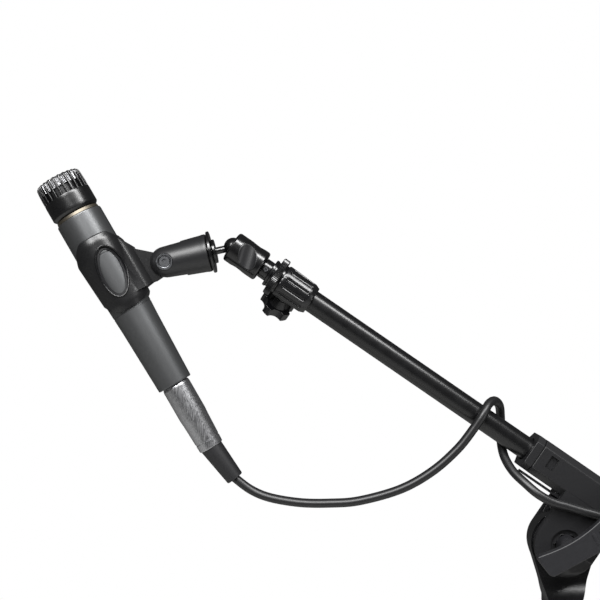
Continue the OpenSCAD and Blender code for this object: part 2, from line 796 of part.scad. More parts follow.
leg_hub();
lower_mast();
mast_bush();
height_clutch_body();
leg_pins();
leg(0);  // leg_1
leg(1);  // leg_2
leg(2);  // leg_3
foot(0);  // foot_1
foot(1);  // foot_2
foot(2);  // foot_3
hub_knob();
height_clutch_ring();
upper_mast();
upper_mast_plug();
mast_top_stud();
pivot_bracket();
friction_discs();
pivot_bolt();
clamp_housing();
clamp_lip();
boom_outer_tube();
boom_end_cap();
tilt_lever();
clamp_collet();
boom_inner_tube();
inner_tube_plug();
tube_collar();
boom_stud();
step_washer();
ball_socket();
socket_screw();
lock_disc();
star_knob();
lock_sleeve();
ball_stud();
thread_adapter();
clip_base();
clip_bolt();
stud_nut();
mic_clip();
mic_body();
mic_neck_ring();
mic_head();
mic_mesh();
mic_capsule();
mic_connector();
xlr_shell();
xlr_latch();
xlr_boot();
cord(0);  // cord_1
cord(1);  // cord_2
cord(2);  // cord_3
cord(3);  // cord_4
cord(4);  // cord_5
cord(5);  // cord_6
cord(6);  // cord_7
cord_coil();
plug_shell();
plug_boot();
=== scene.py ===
# %% [markdown]
# # A boom microphone stand, built round its working frame
# The metal frame of this stand is already made and jointed: it arrives as one mesh per part.
# Here each part gets its finish. Most of the outer parts are modelled again with bevels, ribs
# and seams, and the cable is laid as one long flexible line.

# %% Load the frame
import json
import math
import bpy
import numpy as np
from mathutils import Matrix, Vector


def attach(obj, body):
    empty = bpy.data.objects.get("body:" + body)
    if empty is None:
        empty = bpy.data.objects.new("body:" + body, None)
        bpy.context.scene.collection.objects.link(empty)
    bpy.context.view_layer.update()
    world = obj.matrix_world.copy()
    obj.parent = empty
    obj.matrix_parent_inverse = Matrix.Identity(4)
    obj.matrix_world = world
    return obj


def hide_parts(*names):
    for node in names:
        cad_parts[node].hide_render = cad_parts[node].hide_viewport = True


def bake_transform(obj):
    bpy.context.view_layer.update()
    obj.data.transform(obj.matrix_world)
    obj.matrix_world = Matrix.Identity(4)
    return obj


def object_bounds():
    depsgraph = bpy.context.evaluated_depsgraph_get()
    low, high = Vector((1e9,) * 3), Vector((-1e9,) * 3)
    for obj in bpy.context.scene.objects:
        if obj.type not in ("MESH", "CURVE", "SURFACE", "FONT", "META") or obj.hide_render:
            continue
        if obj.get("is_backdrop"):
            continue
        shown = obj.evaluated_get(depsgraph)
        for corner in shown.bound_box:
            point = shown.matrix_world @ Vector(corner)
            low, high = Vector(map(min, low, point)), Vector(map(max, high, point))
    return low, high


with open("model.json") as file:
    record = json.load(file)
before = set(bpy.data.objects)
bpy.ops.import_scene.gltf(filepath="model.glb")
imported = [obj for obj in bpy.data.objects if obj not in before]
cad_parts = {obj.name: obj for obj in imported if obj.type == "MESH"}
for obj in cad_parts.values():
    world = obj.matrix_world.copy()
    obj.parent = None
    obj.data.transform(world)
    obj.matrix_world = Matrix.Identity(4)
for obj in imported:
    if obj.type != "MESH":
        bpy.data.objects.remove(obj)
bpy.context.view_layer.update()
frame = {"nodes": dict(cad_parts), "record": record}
MM = 0.001
scene = bpy.context.scene
print("parts in the frame:", len(frame["nodes"]))

# %% [markdown]
# ## Camera
# The stand is seen from the near side with the eye level with the boom's front end, square to
# the plane that the boom tilts in. A 63 mm lens from 0.7 m gives its mild perspective.

# %% Camera
PIVOT = Vector((0, 0, 1.0))
EYE = Vector((-0.1767, -0.709, 1.1628))
camera_data = bpy.data.cameras.new("camera")
camera_data.lens = 63
camera_data.sensor_width = 36
camera_data.clip_start = 0.05
camera = bpy.data.objects.new("camera", camera_data)
camera.location = EYE
camera.rotation_euler = (math.radians(90), 0, 0)
scene.collection.objects.link(camera)
scene.camera = camera
print("the camera stands", round(-EYE.y, 3), "m in front of the mast")

# %% [markdown]
# ## Cable
# The cable is a 6.1 mm flexible lead. It leaves the microphone's connector, hangs in a shallow
# bow, rises over the boom just ahead of the clamp, loops round behind the tube, passes the tilt
# joint and drops down the mast to a coil of spare cable on the floor. It crosses seven joints,
# so it is made as seven stretches that meet end to end, one for each joint. All of
# them are cut from one smooth curve, so that they meet in line.

# %% The route
CORD_D = 6.1 * MM
ABOVE = [[-221, 0, 43], [-210, -1, 35], [-197, -3, 30], [-177, -5, 27], [-157, -7, 27],
         [-137, -9, 29], [-110, -11, 37], [-89, -12, 49], [-72, -12, 64], [-61, -12, 78],
         [-55, -12, 87], [-51, -8, 93], [-46, -2, 95], [-41, 6, 91], [-39, 12, 82], [-39, 12, 73],
         [-39, 9, 64], [-38, 2, 56], [-34, -6, 48], [-27, -13, 41], [-20, -17, 35], [-11, -18, 30],
         [-1, -18, 27], [9, -18, 24], [20, -18, 21], [35, -18, 15], [48, -18, 4], [57, -18, -12],
         [62, -19, -32], [64, -19, -60], [64, -19, -140], [64, -19, -230]]
BELOW = [[64, -19, 600], [64, -19, 400], [64, -19, 200], [65, -22, 90], [70, -27, 35],
         [82, -31, 9], [100, -33, 3.5], [120, -33, 3.5], [150, -33, 3.5]]
ROUTE = np.array([[x, y, z + 1000] for x, y, z in ABOVE] + BELOW) * MM
CUTS = [0, 3, 6, 9, 17, 24, 31, 40]


def route_at(t, slope=False):
    """A point of the smooth curve through the route, or its direction."""
    i = min(int(t), len(ROUTE) - 2)
    f = t - i
    a, b, c = ROUTE[max(i - 1, 0)], ROUTE[i], ROUTE[i + 1]
    d = ROUTE[min(i + 2, len(ROUTE) - 1)]
    if slope:
        return (c - a) + 2 * (2 * a - 5 * b + 4 * c - d) * f + 3 * (3 * b - a - 3 * c + d) * f * f
    return 0.5 * (2 * b + (c - a) * f + (2 * a - 5 * b + 4 * c - d) * f * f
                  + (3 * b - a - 3 * c + d) * f ** 3)


def stretch(first, last, spacing=0.0022):
    """Points and directions along one stretch, evenly enough spaced to look round."""
    points, ways = [], []
    for i in range(first, last):
        steps = max(3, int(np.linalg.norm(ROUTE[i + 1] - ROUTE[i]) / spacing))
        for k in range(steps):
            points.append(route_at(i + k / steps))
            ways.append(route_at(i + k / steps, slope=True))
    points.append(route_at(last - 1e-9))
    ways.append(route_at(last - 1e-9, slope=True))
    return np.array(points), np.array(ways)


print("route points:", len(ROUTE))


# %% A tube along a line
def tube(name, points, ways, radius=CORD_D / 2, sides=20):
    """A round tube with closed ends, as a mesh. Its rings are carried along without twist."""
    ways = ways / np.linalg.norm(ways, axis=1)[:, None]
    side = np.cross(ways[0], [0.2, 1, 0.3])
    rings = []
    turn = np.arange(sides) * 2 * math.pi / sides
    for p, w in zip(points, ways):
        side = side - (side @ w) * w
        side = side / np.linalg.norm(side)
        up = np.cross(w, side)
        rings.append(p + radius * (np.outer(np.cos(turn), side) + np.outer(np.sin(turn), up)))
    n = len(points)
    faces = [[i * sides + j, i * sides + (j + 1) % sides, (i + 1) * sides + (j + 1) % sides,
              (i + 1) * sides + j] for i in range(n - 1) for j in range(sides)]
    faces += [list(range(sides))[::-1], [(n - 1) * sides + j for j in range(sides)]]
    mesh = bpy.data.meshes.new(name)
    mesh.from_pydata(np.concatenate(rings).tolist(), [], faces)
    mesh.shade_smooth()
    mesh.set_sharp_from_angle(angle=math.radians(40))
    obj = bpy.data.objects.new(name, mesh)
    scene.collection.objects.link(obj)
    return obj


def length_of(points):
    return float(np.linalg.norm(np.diff(points, axis=0), axis=1).sum())


# %% Lay the seven stretches
SPANS = [("mic", "ball_arm"), ("ball_arm", "boom_tube"), ("boom_tube", "boom_collet"),
         ("boom_collet", "boom_arm"), ("boom_arm", "head"), ("head", "upper_mast"),
         ("upper_mast", "base")]
cords = []
for k, (near, far) in enumerate(SPANS):
    points, ways = stretch(CUTS[k], CUTS[k + 1])
    cords.append((tube(f"cable_{k + 1}", points, ways), points, near, far))
    print(f"stretch {k + 1}: {length_of(points):.4f} m")

# %% [markdown]
# The spare cable is wound into a round coil by a loop: it fills an inner, a middle and an outer
# column of turns one after another, and steps sideways or up inside a short part of a turn.

# %% Wind the coil
COIL = Vector((150, 0))
# Turns from the entry, with the radius and height that the cable has reached there
WINDING = [(0, 33, 3.5), (0.3, 26.9, 3.3), (0.84, 26.9, 3.3), (1.06, 26.9, 9.4), (1.84, 26.9, 9.4),
           (2.06, 26.9, 15.4), (2.7, 26.9, 15.4), (2.95, 33, 15.4), (3.45, 33, 15.4),
           (3.7, 33, 9.4), (4.1, 33, 9.4), (4.4, 39.1, 9.4), (4.6, 39.1, 3.3), (4.72, 39.1, 3.3),
           (4.86, 39.1, 9.5), (5.0, 39.1, 9.5), (5.14, 39.1, 3.3), (5.3, 39.1, 3.3),
           (5.5, 39.1, 9.4), (5.8, 39.1, 9.4), (5.92, 39.1, 15.4), (6.2, 33, 15.5),
           (7.2, 33, 15.5), (7.5, 38.4, 10.2)]
coil_points = []
for (t0, r0, z0), (t1, r1, z1) in zip(WINDING, WINDING[1:]):
    steps = max(6, int((t1 - t0) * 96))
    for k in range(steps):
        f = k / steps
        ease = f * f * (3 - 2 * f)
        angle = 2 * math.pi * (t0 + (t1 - t0) * f) - math.pi / 2
        r = r0 + (r1 - r0) * ease
        coil_points.append([COIL.x + r * math.cos(angle), COIL.y + r * math.sin(angle),
                            z0 + (z1 - z0) * ease])
for f in (0, 0.25, 0.5, 0.75, 1):
    coil_points.append([COIL.x - 21.5 * f, 38.4 - 2.4 * f, 10.2 - 0.5 * f])
coil_points = np.array(coil_points) * MM
coil_ways = np.gradient(coil_points, axis=0)
coil = tube("cable_coil", coil_points, coil_ways)
print(f"coil: {length_of(coil_points):.3f} m")

# %% [markdown]
# ## Helpers
# Parts are modelled lying on simple axes in millimetres and then put in place. Four frames
# serve for that: on the tilt joint, the boom's axis, the clip's arm and the microphone.

# %% Frames of the tilted parts
RISE = math.radians(34.5)
DROP = math.radians(12.5)
LEAN = math.radians(-30)
BALL_AT = 295.1
BOOM_UP = 38
HOME = Matrix.Identity(4)
AT_PIVOT = Matrix.Translation(PIVOT)
AT_BOOM = (AT_PIVOT @ Matrix.Rotation(RISE, 4, "Y") @ Matrix.Rotation(math.pi, 4, "Z")
           @ Matrix.Translation((0, 0, BOOM_UP * MM)))
AT_BALL = AT_BOOM @ Matrix.Translation((BALL_AT * MM, 0, 0)) @ Matrix.Rotation(RISE + DROP, 4, "Y")
AT_MIC = Matrix.Translation((-0.300, 0, 1.1737)) @ Matrix.Rotation(LEAN, 4, "Y")
# Each of these turns a part's Z axis: to +X, to +Y and to -Y
ALONG_X = Matrix.Rotation(math.pi / 2, 4, "Y")
ALONG_Y = Matrix.Rotation(-math.pi / 2, 4, "X")
TO_NEAR = Matrix.Rotation(math.pi / 2, 4, "X")
print("the ball is at", [round(v, 4) for v in AT_BALL.translation])


# %% Select nothing, or all of one object
def deselect():
    if bpy.context.object and bpy.context.object.mode != "OBJECT":
        bpy.ops.object.mode_set(mode="OBJECT")
    bpy.ops.object.select_all(action="DESELECT")


def pick(obj):
    deselect()
    obj.select_set(True)
    bpy.context.view_layer.objects.active = obj
    return obj


def edit(obj, kind="VERT"):
    pick(obj)
    bpy.ops.object.mode_set(mode="EDIT")
    bpy.ops.mesh.select_mode(type=kind)


# %% [markdown]
# A turned part is made as on a lathe: one point is extruded along the outline, and the outline
# is spun round the Z axis. The doubles on the axis are merged, and the normals recalculated.

# %% Turn an outline on the lathe
def fine(outline, step):
    """Adds points along an outline, so that a turned wall has rings no farther apart than step."""
    points = [outline[0]]
    for (r0, z0), (r1, z1) in zip(outline, outline[1:]):
        n = max(1, math.ceil(math.hypot(r1 - r0, z1 - z0) / step))
        points += [(r0 + (r1 - r0) * i / n, z0 + (z1 - z0) * i / n) for i in range(1, n + 1)]
    return points


def arc(radius, angles, z=0):
    """Outline points on a circle round (0, z), with the angles counted from its lowest point."""
    return [(radius * math.sin(math.radians(a)), z - radius * math.cos(math.radians(a)))
            for a in angles]


def turned(name, outline, steps=72, closed=True):
    """Spins (radius, height) pairs in millimetres round Z."""
    deselect()
    bpy.ops.mesh.primitive_plane_add(size=0.001)
    obj = bpy.context.object
    obj.name = name
    edit(obj)
    bpy.ops.mesh.select_all(action="SELECT")
    bpy.ops.mesh.merge(type="CENTER")
    first = Vector((outline[0][0], 0, outline[0][1])) * MM
    bpy.ops.transform.translate(value=first)
    here = first
    for r, z in outline[1:] + ([outline[0]] if closed else []):
        there = Vector((r, 0, z)) * MM
        bpy.ops.mesh.extrude_vertices_move(TRANSFORM_OT_translate={"value": there - here})
        here = there
    bpy.ops.mesh.select_all(action="SELECT")
    bpy.ops.mesh.spin(steps=steps, angle=2 * math.pi, center=(0, 0, 0), axis=(0, 0, 1))
    bpy.ops.mesh.select_all(action="SELECT")
    bpy.ops.mesh.remove_doubles(threshold=2e-6)
    bpy.ops.mesh.normals_make_consistent(inside=False)
    bpy.ops.object.mode_set(mode="OBJECT")
    return obj


# %% [markdown]
# Flat parts start as a filled circle whose corners are moved to the outline, which is then
# extruded to its thickness. Blocks and rods start as the matching primitive.

# %% Plates, blocks and rods
def plate(name, corners, low, high):
    """An outline of (x, y) pairs in millimetres, extruded from low to high along Z."""
    deselect()
    bpy.ops.mesh.primitive_circle_add(vertices=len(corners), radius=0.01, fill_type="NGON")
    obj = bpy.context.object
    obj.name = name
    for vertex, (x, y) in zip(obj.data.vertices, corners):
        vertex.co = Vector((x, y, low)) * MM
    edit(obj, "FACE")
    bpy.ops.mesh.select_all(action="SELECT")
    bpy.ops.mesh.extrude_region_move(TRANSFORM_OT_translate={"value": (0, 0, (high - low) * MM)})
    bpy.ops.mesh.select_all(action="SELECT")
    bpy.ops.mesh.normals_make_consistent(inside=False)
    bpy.ops.object.mode_set(mode="OBJECT")
    return obj


def block(name, low, high):
    deselect()
    low, high = Vector(low) * MM, Vector(high) * MM
    bpy.ops.mesh.primitive_cube_add(size=1, location=(low + high) / 2, scale=high - low)
    obj = bpy.context.object
    obj.name = name
    bpy.ops.object.transform_apply(location=True, rotation=True, scale=True)
    return obj


def rod(name, radius, low, high, corners=64, turn=HOME):
    """A cylinder along Z, or along the axis that turn gives."""
    deselect()
    bpy.ops.mesh.primitive_cylinder_add(vertices=corners, radius=radius * MM,
                                        depth=(high - low) * MM,
                                        location=(0, 0, (low + high) / 2 * MM))
    obj = bpy.context.object
    obj.name = name
    bpy.ops.object.transform_apply(location=True, rotation=True, scale=True)
    return moved(obj, turn)


def moved(obj, place):
    """Puts a part somewhere else, with its place in its mesh."""
    pick(obj)
    obj.matrix_world = place
    bpy.ops.object.transform_apply(location=True, rotation=True, scale=True)
    return obj


def shift(x=0, y=0, z=0):
    return Matrix.Translation(Vector((x, y, z)) * MM)


def spun(degrees, axis="Z"):
    return Matrix.Rotation(math.radians(degrees), 4, axis)


# %% [markdown]
# Two parts are joined or cut with a Boolean modifier, which is applied at once. Moulded and
# machined edges are never sharp, so a Bevel modifier breaks them: that thin bright line along
# an edge is most of what makes a black part readable.

# %% Join, cut and soften
def combine(obj, tools, operation):
    for tool in tools:
        pick(obj)
        modifier = obj.modifiers.new("shape", "BOOLEAN")
        modifier.operation = operation
        modifier.solver = "EXACT"
        modifier.object = tool
        bpy.ops.object.modifier_apply(modifier=modifier.name)
        bpy.data.objects.remove(tool)
    return obj


def cut(obj, *tools):
    return combine(obj, tools, "DIFFERENCE")


def fuse(obj, *tools):
    return combine(obj, tools, "UNION")


def trim(obj, *tools):
    return combine(obj, tools, "INTERSECT")


def joined(name, parts):
    deselect()
    for part in parts:
        part.select_set(True)
    bpy.context.view_layer.objects.active = parts[0]
    bpy.ops.object.join()
    parts[0].name = name
    return parts[0]


def soften(obj, width, segments=2, sharp=32):
    pick(obj)
    modifier = obj.modifiers.new("edges", "BEVEL")
    modifier.width = width * MM
    modifier.segments = segments
    modifier.limit_method = "ANGLE"
    modifier.angle_limit = math.radians(sharp)
    bpy.ops.object.modifier_apply(modifier=modifier.name)
    return obj


def smooth(obj, degrees=35):
    """Smooth shading in which the large faces lead, so that a highlight runs straight on them."""
    pick(obj)
    bpy.ops.object.shade_smooth_by_angle(angle=math.radians(degrees))
    modifier = obj.modifiers.new("normals", "WEIGHTED_NORMAL")
    modifier.keep_sharp = True
    bpy.ops.object.modifier_apply(modifier=modifier.name)
    return obj


# %% [markdown]
# ## Finishes
# Every finish is a Principled shader with a little variation in its colour, roughness and
# surface, read in Object coordinates. The size of each pattern is given in millimetres.

# %% Colour, one node helper and one function for all finishes
def linear(hex_code):
    """An sRGB hex value as linear RGBA."""
    values = [int(hex_code[i:i + 2], 16) / 255 for i in (1, 3, 5)]
    return [v / 12.92 if v <= 0.04045 else ((v + 0.055) / 1.055) ** 2.4 for v in values] + [1]


def add(tree, kind, inputs=(), **settings):
    """Adds a node. A socket given as an input is linked, and any other value is set."""
    node = tree.nodes.new("ShaderNode" + kind)
    for key, value in settings.items():
        setattr(node, key, value)
    for key, value in dict(inputs).items():
        if isinstance(value, bpy.types.NodeSocket):
            tree.links.new(value, node.inputs[key])
        else:
            node.inputs[key].default_value = value
    return node


FINISH = {}


def finish(slot, name, dark, light, grain_mm, rough, height_mm, turn=(0, 0, 0),
           stretch_by=(1, 1, 1), **values):
    """Makes a Principled material and keeps it under its slot. It mottles the colour between two
    hex values and the roughness between two numbers, with a relief of the same grain. A polished
    finish has no relief. Any other value sets the shader's socket of that name."""
    made = bpy.data.materials.new(name)
    made.use_nodes = True
    tree = made.node_tree
    shader = tree.nodes["Principled BSDF"]
    for key, value in values.items():
        shader.inputs[key.replace("_", " ").title().replace("Ior", "IOR")].default_value = value
    where = add(tree, "TexCoord").outputs["Object"]
    place = add(tree, "Mapping", {"Vector": where, "Rotation": turn, "Scale": stretch_by})
    noise = add(tree, "TexNoise", {"Vector": place.outputs["Vector"], "Scale": 1000 / grain_mm,
                                   "Detail": 4, "Roughness": 0.6})
    value = noise.outputs["Fac"]
    ramp = add(tree, "ValToRGB", {"Fac": value})
    ramp.color_ramp.elements[0].position, ramp.color_ramp.elements[1].position = 0.3, 0.7
    ramp.color_ramp.elements[0].color, ramp.color_ramp.elements[1].color = linear(dark), linear(light)
    tree.links.new(ramp.outputs["Color"], shader.inputs["Base Color"])
    spread = add(tree, "MapRange", {"Value": value, "From Min": 0.3, "From Max": 0.7,
                                    "To Min": rough[0], "To Max": rough[1]})
    tree.links.new(spread.outputs["Result"], shader.inputs["Roughness"])
    if height_mm:
        relief = add(tree, "Bump", {"Height": value, "Distance": height_mm * MM})
        tree.links.new(relief.outputs["Normal"], shader.inputs["Normal"])
    FINISH[slot] = made


# %% [markdown]
# The tubes are steel with a baked powder coat: the powder melts to a smooth skin whose gloss
# changes a little along the tube, so that its long highlight wavers slightly.

# %% Coated steel
finish("powder_coat", "gloss powder coat on steel",
       "#0b0b0c", "#101011", 6, (0.26, 0.3), 0, ior=1.5)

finish("cast_metal", "painted zinc casting",
       "#1b1b1d", "#222225", 0.9, (0.38, 0.46), 0.004, ior=1.5)

# %% [markdown]
# The ball head's turned parts are black anodised and polished, so they show hard, narrow bands
# of light. The screws are zinc plated, and the connector shells are satin nickel whose fine
# draw lines run along the shell and streak its highlights.

# %% Metals
finish("machined_black", "black anodised aluminium",
       "#080809", "#0d0d0e", 3, (0.2, 0.24), 0, ior=1.6)

finish("plated_steel", "zinc plated steel",
       "#6c6d70", "#808184", 0.7, (0.26, 0.36), 0.001, metallic=1.0)

finish("nickel", "satin nickel",
       "#a9aaad", "#d6d6d8", 0.35, (0.22, 0.42), 0.008,
       turn=(0, -LEAN, 0), stretch_by=(1, 1, 0.03), metallic=1.0)

finish("mic_ring", "champagne anodised aluminium",
       "#6a645a", "#7f786c", 0.4, (0.44, 0.52), 0.001, metallic=1.0)

finish("mic_mesh", "woven stainless wire",
       "#d2d3d5", "#ececee", 0.2, (0.3, 0.42), 0.001, metallic=1.0)

finish("capsule", "turned brass", "#a98c4d", "#c9ac6a", 0.5, (0.28, 0.38), 0.004, metallic=1.0)

# %% [markdown]
# The moulded parts are glass-filled nylon from a spark-eroded mould: the tool's fine grain
# gives an even satin that turns pale at grazing light. Knobs are smoother ABS, and the feet
# and cable boots are rubber.

# %% Moulded plastics and rubber
finish("nylon", "glass-filled nylon", "#161617", "#1c1c1e", 0.28, (0.36, 0.42), 0.003, ior=1.53)

finish("clip_nylon", "polished nylon", "#121213", "#161617", 0.6, (0.26, 0.32), 0.001, ior=1.55)

finish("natural_nylon", "natural nylon",
       "#dcd7c8", "#e9e5d9", 0.8, (0.4, 0.5), 0.01, ior=1.53, subsurface_weight=0.1)

finish("knob_plastic", "semi-gloss ABS", "#0c0c0d", "#101012", 3, (0.22, 0.27), 0, ior=1.54)

finish("mic_head_plastic", "gloss polycarbonate", "#0a0a0b", "#0e0e0f", 3, (0.26, 0.3), 0, ior=1.58)

finish("rubber", "moulded rubber", "#141416", "#1b1b1d", 0.4, (0.42, 0.52), 0.006, ior=1.52)

# %% [markdown]
# The microphone's die-cast body has a dark grey enamel, sprayed rather dry: it scatters light
# into a broad soft band. The cable has a matt PVC jacket with faint marks from its extruder.

# %% Enamel and cable jacket
finish("mic_enamel", "sprayed grey enamel",
       "#5a5b5c", "#636465", 0.3, (0.38, 0.42), 0.003, ior=1.5, metallic=0.8)

finish("cable", "matt PVC jacket", "#151516", "#1a1a1b", 0.5, (0.36, 0.42), 0.003, ior=1.5)
SLOT_OF = {s["node"]: s["material_slot"] for s in frame["record"]["subparts"]}
for node, obj in frame["nodes"].items():
    obj.data.materials.clear()
    obj.data.materials.append(FINISH[SLOT_OF[node]])
print("finishes:", len(FINISH))


# %% Put a finished piece in its place
def settle(obj, body, slot, place=HOME, stands_for=()):
    """Moves a piece to its frame, gives it its finish and lets it ride on its body."""
    moved(obj, place)
    obj.data.materials.clear()
    obj.data.materials.append(FINISH[slot])
    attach(obj, body)
    if stands_for:
        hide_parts(*stands_for)
    print(f"{obj.name}: {len(obj.data.polygons)} faces on {body}")
    return obj


# %% [markdown]
# ## The cable's place in the model
# Each stretch and the coil get the cable's jacket and stand for their plain frame tubes, which
# are hidden. The stretches stay where they are laid, and the coil rides on the base.

# %% Give the cable its jacket
for k, (obj, points, near, far) in enumerate(cords):
    obj.data.materials.append(FINISH["cable"])
    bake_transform(obj)
    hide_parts(f"cord_{k + 1}")
coil.data.materials.append(FINISH["cable"])
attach(coil, "base")
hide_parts("cord_coil")

# %% [markdown]
# ## Microphone
# The body is a die-cast tube that narrows towards the connector, with one parting groove. It is
# a turned shape, so it comes off the lathe in one outline, wall and all.

# %% Body and neck ring
body_outline = [(8.25, -78), (11.3, -78), (11.9, -77.8), (12.1, -77.2), (13.5, -30), (13.98, -20.8),
                (13.7, -20.6), (13.7, -20.2), (14.02, -20), (16.0, 20.2), (15.5, 20.4), (15.5, 20.9),
                (16.05, 21.1), (16.1, 22), (16.1, 50.8), (15.95, 51.5),
                (15.4, 51.9), (14.1, 51.9), (14.1, 20), (11.5, -30), (8.25, -58)]
mic_barrel = smooth(turned("mic_barrel", body_outline, steps=96))
settle(mic_barrel, "mic", "mic_enamel", AT_MIC, ["mic_body"])
neck_ring = turned("silver_neck_ring", [(11, 51.9), (15.1, 51.9), (15.3, 52.1), (15.0, 54),
                                        (14.7, 54.2), (11, 54.2)], steps=96)
settle(smooth(neck_ring), "mic", "mic_ring", AT_MIC, ["mic_neck_ring"])

# %% [markdown]
# The head is a smooth band with a crown of ribs that guards the wire mesh. One rib is made as a
# small plate, its edges are rounded, and it is copied round the crown.

# %% Crown of ribs
band = turned("crown", fine([(12.2, 54.2), (14.2, 54.2), (16.15, 56.3), (16.35, 56.8), (16.35, 67.3),
                        (16.1, 67.8), (15.2, 67.9), (15, 67.5), (15, 57.8), (12.2, 57.8)], 2), steps=96)
rim = turned("rim", [(12.4, 79.6), (14.4, 79.6), (14.7, 80), (14.4, 80.7), (13.9, 81), (12.8, 81),
                     (12.4, 80.6)], steps=96)
cup = turned("cup", [(12, 66), (13.4, 66), (13.4, 74.2), (13.1, 74.6), (12, 74.6)], steps=96)
RIBS = 24
rib_outline = [(13.4, 66.5), (16.25, 66.5), (16.3, 72), (16.1, 77.6), (15.8, 79.9), (15.1, 81.1),
               (13.9, 81.35), (13.4, 81.2)]
ribs = []
for i in range(RIBS):
    rib = moved(plate("rib", rib_outline, -0.75, 0.75), spun(90, "X"))
    soften(rib, 0.6, 4)
    ribs.append(moved(rib, spun(i * 360 / RIBS)))
print("one rib is 1.5 mm wide, and the slot beside it 2.7 mm")
crown = smooth(joined("ribbed_crown", [band, rim] + ribs), 50)
settle(crown, "mic", "mic_head_plastic", AT_MIC, ["mic_head"])
cup.name = "dust_cup"
settle(smooth(cup), "mic", "rubber", AT_MIC)

# %% [markdown]
# The mesh is a grid of quads round the upper inside of the crown and a domed one on top. The
# Wireframe modifier turns each edge into a wire, and a fine bright sheet lies right behind.

# %% Wire mesh
def wires(name, outline, steps, thickness):
    obj = turned(name, outline, steps=steps, closed=False)
    modifier = obj.modifiers.new("wires", "WIREFRAME")
    modifier.thickness = thickness * MM
    bpy.ops.object.modifier_apply(modifier=modifier.name)
    return obj


side_mesh = wires("side_mesh", [(14.6, 74.2 + 0.75 * i) for i in range(9)], 108, 0.34)
top_mesh = wires("top_mesh", [(14 - 1.3 * i, 80.3 + 2 * math.sin(math.pi * i / 20))
                              for i in range(11)], 60, 0.4)
backing = turned("backing", [(0, 81.6), (6, 81.2), (12, 80), (14.3, 79.4), (14.3, 74.3), (13.9, 74.3),
                             (13.9, 79), (0, 81.2)], steps=96, closed=False)
settle(joined("wire_mesh", [side_mesh, top_mesh, smooth(backing)]), "mic", "mic_mesh", AT_MIC,
       ["mic_mesh"])

# %% [markdown]
# The connector's shell is drawn nickel, a little narrower behind, with a fine groove before its
# boot. The boot is smooth rubber, and it leans where the cable pulls it down.

# %% Connector shell and boot
shell = turned("connector_shell", [
    (0, -127), (8.1, -127), (8.55, -126.5), (8.72, -122), (8.45, -121.7), (8.45, -121.1),
    (8.78, -120.8), (9.35, -106), (9.7, -101.6), (9.72, -80.5), (9.5, -79), (8.9, -78.02),
    (7.9, -78.02), (7.9, -64), (7.6, -62), (0, -62)], steps=96, closed=False)
settle(smooth(shell), "mic", "nickel", AT_MIC, ["xlr_shell"])
BOOT_BEND = 7
AT_BOOT = AT_MIC @ shift(z=-127) @ spun(180 - BOOT_BEND, "Y")


def boot_outline(length, wide, narrow, grooves, first, bore):
    """The outline of a tapered rubber boot with ring grooves, from its wide end."""
    points = [(0, first), (wide - 0.4, first), (wide, first + 0.6)]
    for i in range(grooves):
        z = length * (0.32 + 0.5 * i / grooves)
        r = wide + (narrow - wide) * z / length
        points += [(r, z - 0.9), (r - 0.8, z - 0.6), (r - 0.8, z + 0.3), (r - 0.1, z + 0.6)]
    return points + [(narrow, length - 0.5), (narrow - 0.4, length), (bore, length),
                     (bore, length - 3), (0, length - 3)]


boot = turned("connector_boot", boot_outline(26.5, 7.6, 6, 0, -1, 3.1), steps=64, closed=False)
settle(smooth(boot, 50), "mic", "rubber", AT_BOOT, ["xlr_boot"])

# %% [markdown]
# ## Microphone clip
# The clip is a moulded sleeve, open on the side away from the stand, that grips the body. Seen
# from the side each flank is a large oval with a smaller oval window in it. The sleeve is turned,
# and Booleans trim it to the oval and cut the opening and the window. Every edge is rounded, so
# that they catch the light. A bead runs round the window. Inside it a dark rubber ring is painted
# shade: it stands for the shadow in the gap between clip and body, and sets the bead off. A
# shoulder and a flat neck join the sleeve to the hinge eye.

# %% The clip
CLIP = (-19, 34)
WINDOW = (8.6, 17.4)
ARM = 46.5
bolt_place = AT_MIC.inverted() @ AT_BALL @ Vector((ARM * MM, 0, 0))
BOLT_X, BOLT_Z = bolt_place.x / MM, bolt_place.z / MM
print("the hinge bolt sits", round(BOLT_X, 1), "mm beside the microphone, at", round(BOLT_Z, 1))


def oval(half_w, half_l, x=3.6, z=7.5, lean=8, steps=60):
    """The points of an oval that leans by some degrees."""
    points = []
    for i in range(steps):
        angle = 2 * math.pi * i / steps
        point = Vector((half_w * math.cos(angle), half_l * math.sin(angle)))
        c, n = math.cos(math.radians(lean)), math.sin(math.radians(lean))
        points.append((x + c * point.x + n * point.y, z - n * point.x + c * point.y))
    return points


def body_r(z):
    """The microphone's radius at a height on its axis."""
    return 16.1 - 2.6 * max(0, 22 - z) / 52


grip_outline = [(body_r(CLIP[0]), CLIP[0]), (body_r(CLIP[0]) + 1.6, CLIP[0]),
                (body_r(-14) + 2.3, -15), (18.5, 20), (18.5, 29.5), (17.9, 33.2), (17, 34),
                (16.1, 34), (16.1, 22)]
grip = turned("grip", fine(grip_outline, 1.5), steps=128)
flank = [(-1.5 - 16.8 * math.sin(math.radians(a)), 7.6 + 27.3 * math.cos(math.radians(a)))
         for a in range(0, 181, 6)]
flank += [(3, -19.8), (7.5, -19.2), (11.5, -18), (14.5, -16.4), (17, -14.2), (19.5, -11), (19.5, 20),
          (17.8, 24.8), (15.6, 29.5), (13, 32.6), (10, 34.2), (6, 34.9), (2, 35)]
trim(grip, moved(plate("flank", flank, -40, 40), TO_NEAR))
cut(grip, block("opening", (-30, -9, -50), (0, 9, 70)),
    moved(plate("window", oval(*WINDOW), -30, 30), TO_NEAR))
shoulder = trim(plate("shoulder", [(6, -15.5), (12, -13.2), (16.5, -8.6), (22, -4.3), (22, 4.3),
                                   (16.5, 8.6), (12, 13.2), (6, 15.5)], -14, 30),
                moved(plate("slope", [(5, -12.4), (5, 27.2), (15.6, 27.2), (22.4, 15.6), (22.4, -11.2)],
                            -40, 40), TO_NEAR))
